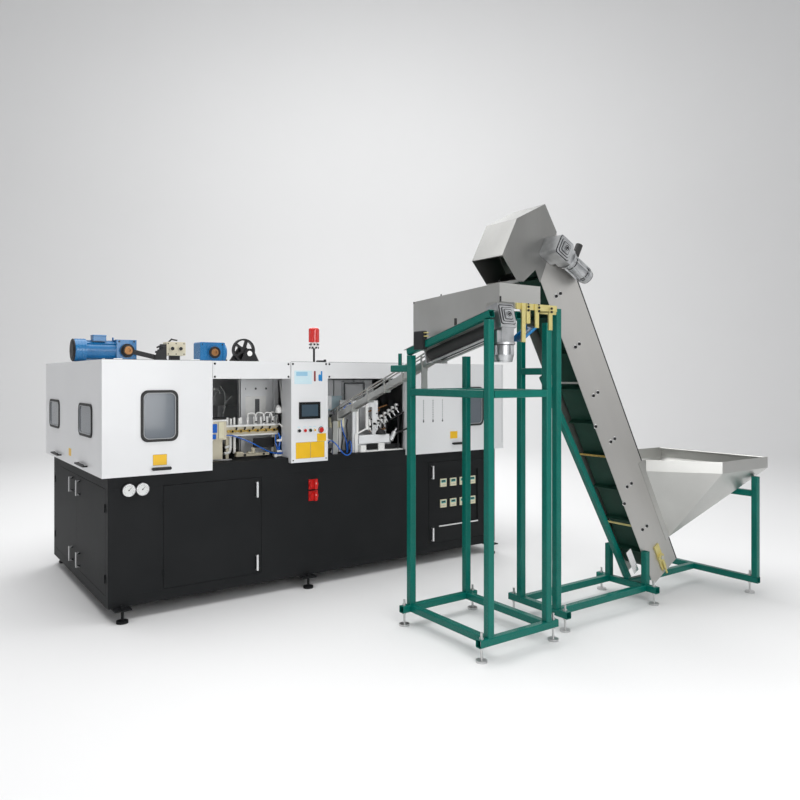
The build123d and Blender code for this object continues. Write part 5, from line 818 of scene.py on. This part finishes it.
piece("side_hoses", [
    tube(((1410, 140, 1300), (1428, 136, 1250), (1412, 132, 1180), (1424, 128, 1120)), 22, 8),
    tube(((1392, 150, 1290), (1386, 146, 1230), (1402, 140, 1170), (1396, 134, 1112)), 22, 6)
], hose_blue)
piece("bay_floor_hose", [
    tube(((806, 140, 1108), (860, 80, 1112), (930, 70, 1110), (980, 110, 1106)), 26, 7)
], wire_grey)
# Black blocks at the bay's lower back: painted shade filling a dark open corner.
piece("dark_corner_shade", [
    block((806, 300, 1110), (940, 400, 1262), 8), block((950, 300, 1110), (1010, 380, 1190), 6)
], black_plastic_and_shade)

# Right bay: the framed pane, panels, chain wheels, grippers and rods under the chute
piece("pane_border", [framed(at(2376, 480, 1630), 236, 184, 14, 5, 6)], seam_and_shade_grey)
piece("pane_face", [plate(at(2376, 480, 1624), 190, 148, 3, 3)], guard_white)
piece("blue_panel", [block((2060, 440, 1460), (2216, 452, 1596), 2)], label_pale_blue)
piece("infeed_post", [
    block((2130, 44, 1262), (2154, 58, 1530), 3), block((2231, 44, 1300), (2258, 58, 1580), 3),
    beam((2142, 50, 1268), (2262, 50, 1318), 18, 12),
    beam((2140, 50, 1520), (2250, 50, 1576), 16, 12),
    block((2112, 40, 1100), (2146, 58, 1266), 4)
], fitting_white)
piece("infeed_corner", [beam((2160, 44, 1500), (2226, 44, 1548), 14, 10)], machined_steel)
piece("infeed_table", [block((2150, 30, 1176), (2480, 160, 1250), 3)], clamp_grey)
piece("infeed_table_feet", [
    block((2354, 20, 1112), (2420, 60, 1172), 4), block((2160, 20, 1108), (2222, 60, 1160), 4),
    block((2154, 10, 1101), (2620, 70, 1112), 3)
], fitting_white)
# Black blocks in the recesses under the infeed table: painted shade.
piece("infeed_recess_shade", [
    block((2230, 26, 1120), (2348, 40, 1170), 3), block((2426, 26, 1120), (2600, 40, 1160), 3)
], bolt_and_shade_black)
wheel_places = [
    (2300, 1388), (2352, 1342), (2402, 1392), (2300, 1300), (2360, 1440), (2430, 1330)
]
piece("gripper_wheels", [
    turned(at(x, 90, z), ((0, 0), (0, 26), (6, 27), (8, 22), (8, 12), (14, 11), (14, 0)), 22)
    for x, z in wheel_places
], machined_steel)
piece("gripper_arms", [
    beam((x, 84, z), (x + 46, 84, z + 34 * (-1) ** i), 12, 8)
    for i, (x, z) in enumerate(wheel_places)
] + [
    beam((2280, 80, 1460), (2480, 80, 1516), 16, 10),
    beam((2290, 78, 1280), (2460, 78, 1296), 20, 12)
], bronze)
piece("gripper_pins", [
    rod((x, 76, z), (x, 60, z), 8) for x, z in wheel_places
] + [
    rod((x, 70, 1300), (x, 70, 1350), 7) for x in (2310, 2350, 2390, 2430, 2470)
], bolt_and_shade_black)
piece("gripper_jaws", [
    block((x, 66, 1352), (x + 22, 84, 1392), 3) for x in (2276, 2326, 2376, 2446)
], fitting_white)
piece("infeed_cylinder", [
    rod((2500, 44, 1190), (2546, 44, 1266), 22), rod((2546, 44, 1266), (2566, 44, 1300), 9)
], chrome)
piece("infeed_motor_dome", [
    turned(at(2400, 70, 1250), ((0, 0), (0, 56), (22, 52), (40, 36), (48, 0)), 26, out=up_way)
], black_plastic_and_shade)
piece("infeed_rods", [
    rod((2544, 0, 1262), (2660, -30, 1305), 8), rod((2560, 10, 1112), (2560, 10, 1420), 6),
    rod((2606, 10, 1112), (2618, 10, 1449), 7), rod((2620, 0, 1450), (2480, 20, 1380), 6)
], bolt_and_shade_black)
piece("bay_hose_bundle", [
    tube(((2040, 70, 1106), (2026, 64, 1180), (2046, 60, 1250), (2034, 60, 1330),
        (2044, 60, 1400)), 26, 8),
    tube(((1990, 66, 1104), (1986, 60, 1170), (2000, 60, 1230), (1996, 60, 1290)), 22, 7)
], rubber_black)
piece("bay_regulators", [
    block((1876, 60, 1330), (1906, 110, 1420), 4), block((1922, 60, 1326), (1956, 110, 1424), 4),
    block((1968, 56, 1330), (2012, 110, 1412), 4)
], ivory)
piece("bay_regulator_caps", [
    rod((x, 84, 1420), (x, 84, 1446), 15) for x in (1891, 1939, 1990)
], bolt_and_shade_black)
piece("bay_tubes", [
    rod((x, 90, 1112), (x, 90, 1320), 8) for x in (1960, 1984)
] + [
    tube(((1850, 70, 1230), (1880, 60, 1212), (1904, 60, 1160), (1880, 60, 1112)), 18, 8)
], fitting_white)

# Guard front: the line between its last two sheets
piece("panel_seam", [block((3823, -41, 1104), (3825, -39.5, 1896), 0.3)], seam_and_shade_grey)

# Elevator: bolts in pairs down its near plate, and the small plate at its foot
near_plate = -1900
bolt_pairs = (
    (2586, 2349), (2629, 2371), (2788, 1992), (2829, 2016), (2987, 1635), (3036, 1659),
    (3185, 1282), (3232, 1303), (3381, 923), (3434, 945), (3574, 568), (3629, 590)
)
single_bolts = ((3013, 1405), (3348, 796))
piece("elevator_washers", [
    turned(at(x, near_plate, z), ((-0.5, 0), (-0.5, 18), (1.6, 18), (2, 17), (2, 0)), 20)
    for x, z in bolt_pairs + single_bolts
], stainless_bright)
piece("elevator_bolts", [
    turned(at(x, near_plate - 2, z),
        ((0, 0), (0, 11.5), (7, 11.5), (8, 10.5), (8, 6), (4, 5), (4, 0)), 16)
    for x, z in bolt_pairs + single_bolts
], bolt_and_shade_black)
belt_way = unit([-1290, 0, 2340])
piece("lower_plate", [
    plate(at(3450, near_plate, 336), 60, 205, 2.5, 6, up=belt_way)
], stainless_bright)

# Sorter: pegs, screws and the switch box with its brackets
bracket_face = -2123
piece("hanger_screws", [
    screw(at(x, bracket_face, 2243), 9, 8, out=up_way) for x in (2084, 2181)
], bolt_and_shade_black)
piece("rail_pegs", [
    rod((1783, -1752, 2110), (1783, -1752, 2164), 9),
    rod((1857, -2103, 2249), (1857, -2103, 2284), 7)
], bolt_and_shade_black)
piece("switch_box", [block((1740, -1448, 1966), (1780, -1340, 2096), 4)], black_plastic_and_shade)
piece("switch_brackets", [
    block((1748, -1474, 2054), (1774, -1447, 2062), 1),
    block((1748, -1474, 2078), (1774, -1447, 2086), 1)
], zinc_yellow)
piece("trough_screws", [
    screw(at(1850, y, z), 7, out=to_left)
    for y, z in ((-1515, 2345), (-1197, 2317), (-2102, 2377))
], bolt_and_shade_black)

# Gear cases: painted shade in the grooves round the cover's steps, bolts, and bands on the motors
motor_fall = math.radians(28)
motor_way = np.array([math.cos(motor_fall), 0, -math.sin(motor_fall)])
case_up = np.cross(motor_way, into_way)
motor_flange = at(2629, -1977, 2597)
flange_screw_reach = 62
case_face = at(2510, -2050, 2660)
case_bolt_reach = 61
case_bolt_places = ((1, 0.6), (1, -0.6), (-1, 0.6), (-1, -0.6), (0.6, 1), (-0.6, 1), (0.6, -1),
                    (-0.6, -1))
# Black frames on the head case's cover: painted shade in the grooves between its steps.
piece("head_case_groove_shade", [
    framed(at(2510, y, 2660), size, size, band, 1.6, 16, up=case_up)
    for y, size, band in ((-2050, 138, 6), (-2056, 104, 5), (-2062, 76, 4))
], bolt_and_shade_black)
piece("head_case_boss", boss(at(2510, -2074, 2660), 16, 8), bolt_and_shade_black)
piece("head_case_bolts", [
    hexagon(case_face + mm * (a * case_bolt_reach * motor_way + b * case_bolt_reach * case_up),
        7, 5)
    for a, b in case_bolt_places
], bolt_and_shade_black)
piece("head_motor_bands", [
    hoop(motor_flange + along * mm * motor_way, radius, 3, 40, 8, out=motor_way)
    for along, radius in ((1, 56), (38, 51), (168, 51), (222, 49.5))
], bolt_and_shade_black)
piece("head_flange_screws", [
    screw(motor_flange
        + mm * flange_screw_reach * (math.cos(a) * case_up + math.sin(a) * into_way),
        6, out=motor_way)
    for a in np.arange(0.4, 6.4, 1.047)
], bolt_and_shade_black)
cover_way = unit([0, -0.97, 0.24])
cover_up = unit([0, 0.24, 0.97])
# Black frames on the sorter case's cover: painted shade in the grooves between its steps.
piece("sorter_case_groove_shade", [
    framed(at(1900, y, z), size, size, band, 1.6, 14, up=cover_up, out=cover_way)
    for y, z, size, band in ((-2118, 2170, 128, 6), (-2124, 2170, 96, 5), (-2130, 2170.5, 70, 4))
], bolt_and_shade_black)
piece("sorter_case_boss", boss(at(1900, -2142, 2173), 14, 7, cover_way), bolt_and_shade_black)
piece("sorter_motor_bands", [
    hoop(at(1900, -2083, z), radius, 3, 40, 8, out=up_way)
    for z, radius in ((1878, 56), (1905, 57), (1979, 70))
], bolt_and_shade_black)
piece("bracket_bolts", [
    hexagon(at(x, bracket_face, z), 9, 7) for x in (2084, 2181, 2300) for z in (2205, 2228)
], bolt_and_shade_black)

# Under the chute: a row of preform grippers on their rail
gripper_row = [(2286 + 42 * i, 1322 + 25 * i) for i in range(8)]
piece("gripper_rail", [beam((2270, 92, 1302), (2620, 92, 1512), 10, 22)], stainless_bright)
piece("gripper_plates", [
    block((x - 13, 56, z - 26), (x + 9, 82, z + 30), 3) for x, z in gripper_row
], fitting_white)
piece("gripper_hubs", [
    rod((x - 2, 58, z + 2), (x - 2, 38, z + 2), 10) for x, z in gripper_row
], bolt_and_shade_black)
piece("gripper_fingers", [
    beam((x - 6, 50, z - 26), (x + 12, 40, z - 56), 9, 7) for x, z in gripper_row
], machined_steel)

# Floor and backdrop: one turned surface, flat in the middle and rising in a wide curve
studio_flat = 13.0
studio_bend = 9.0
studio_wall = 9.0
studio_sides = 128
bend = np.linspace(0, math.pi / 2, 25)
floor_rings = [0.0, 0.6, 2.0, 4.0, 8.0]
floor_radius = np.concatenate([floor_rings, studio_flat + studio_bend * np.sin(bend),
                               [studio_flat + studio_bend]]) / mm
floor_height = np.concatenate([np.zeros(len(floor_rings)), studio_bend * (1 - np.cos(bend)),
                               [studio_bend + studio_wall]]) / mm
studio_grey = finish("studio_grey", (0.80, 0.80, 0.80), (0.785, 0.785, 0.785), patch=0.3,
                     rough=(0.8, 0.9), bump=0.0)
studio_profile = np.stack([floor_height, floor_radius], axis=1)
studio = made("studio", [turned(np.zeros(3), studio_profile, studio_sides, up_way)],
              studio_grey, sharp=60)


# Light, world and camera
def soft_light(name, place, aim, size, power):
    """A square area light at a place, turned towards a point."""
    lamp = bpy.data.lights.new(name, "AREA")
    lamp.shape = "SQUARE"
    lamp.size = size
    lamp.energy = power
    lamp_object = bpy.data.objects.new(name, lamp)
    bpy.context.scene.collection.objects.link(lamp_object)
    back, level, above = face_ways(np.array(place) - np.array(aim))
    turn = np.stack([level, above, back], axis=1)
    lamp_object.matrix_world = Matrix([[*turn[0], place[0]], [*turn[1], place[1]],
                                       [*turn[2], place[2]], [0, 0, 0, 1]])


soft_light("key_light", (0.0, -8.5, 6.0), (0, 0, 1.0), 6.0, 90)
soft_light("fill_light", (7.0, -5.0, 4.5), (0.5, -1, 1.2), 6.0, 80)
soft_light("bay_light", (-1.2, -5.6, 2.2), (-0.2, 0.3, 1.4), 2.5, 95)
soft_light("top_light", (-1.0, 1.2, 8.0), (-1.0, 1.2, 0), 9.0, 700)
soft_light("back_light", (4.0, 7.0, 5.5), (0, 0, 1.0), 5.0, 130)
soft_light("wall_light", (5.0, 8.0, 12.0), (13.0, 18.0, 4.0), 6.0, 1000)
world = bpy.data.worlds.new("studio_world")
world.use_nodes = True
sky = world.node_tree.nodes["Background"].inputs
sky["Color"].default_value = (0.97, 0.98, 1.0, 1)
sky["Strength"].default_value = 0.4
bpy.context.scene.world = world
bpy.context.scene.view_settings.view_transform = "Standard"

# The camera solved from the photo's edges: it stands level, and look is its way over the floor
camera = bpy.data.cameras.new("camera")
camera.lens = 32.6
camera.sensor_width = 36.0
camera.shift_y = -0.0289
camera_object = bpy.data.objects.new("camera", camera)
bpy.context.scene.collection.objects.link(camera_object)
camera_object.location = at(-1305, -5458, 1775)
look = (0.57952, 0.81495)
camera_object.rotation_euler = (math.pi / 2, 0, -math.atan2(look[0], look[1]))
bpy.context.scene.camera = camera_object
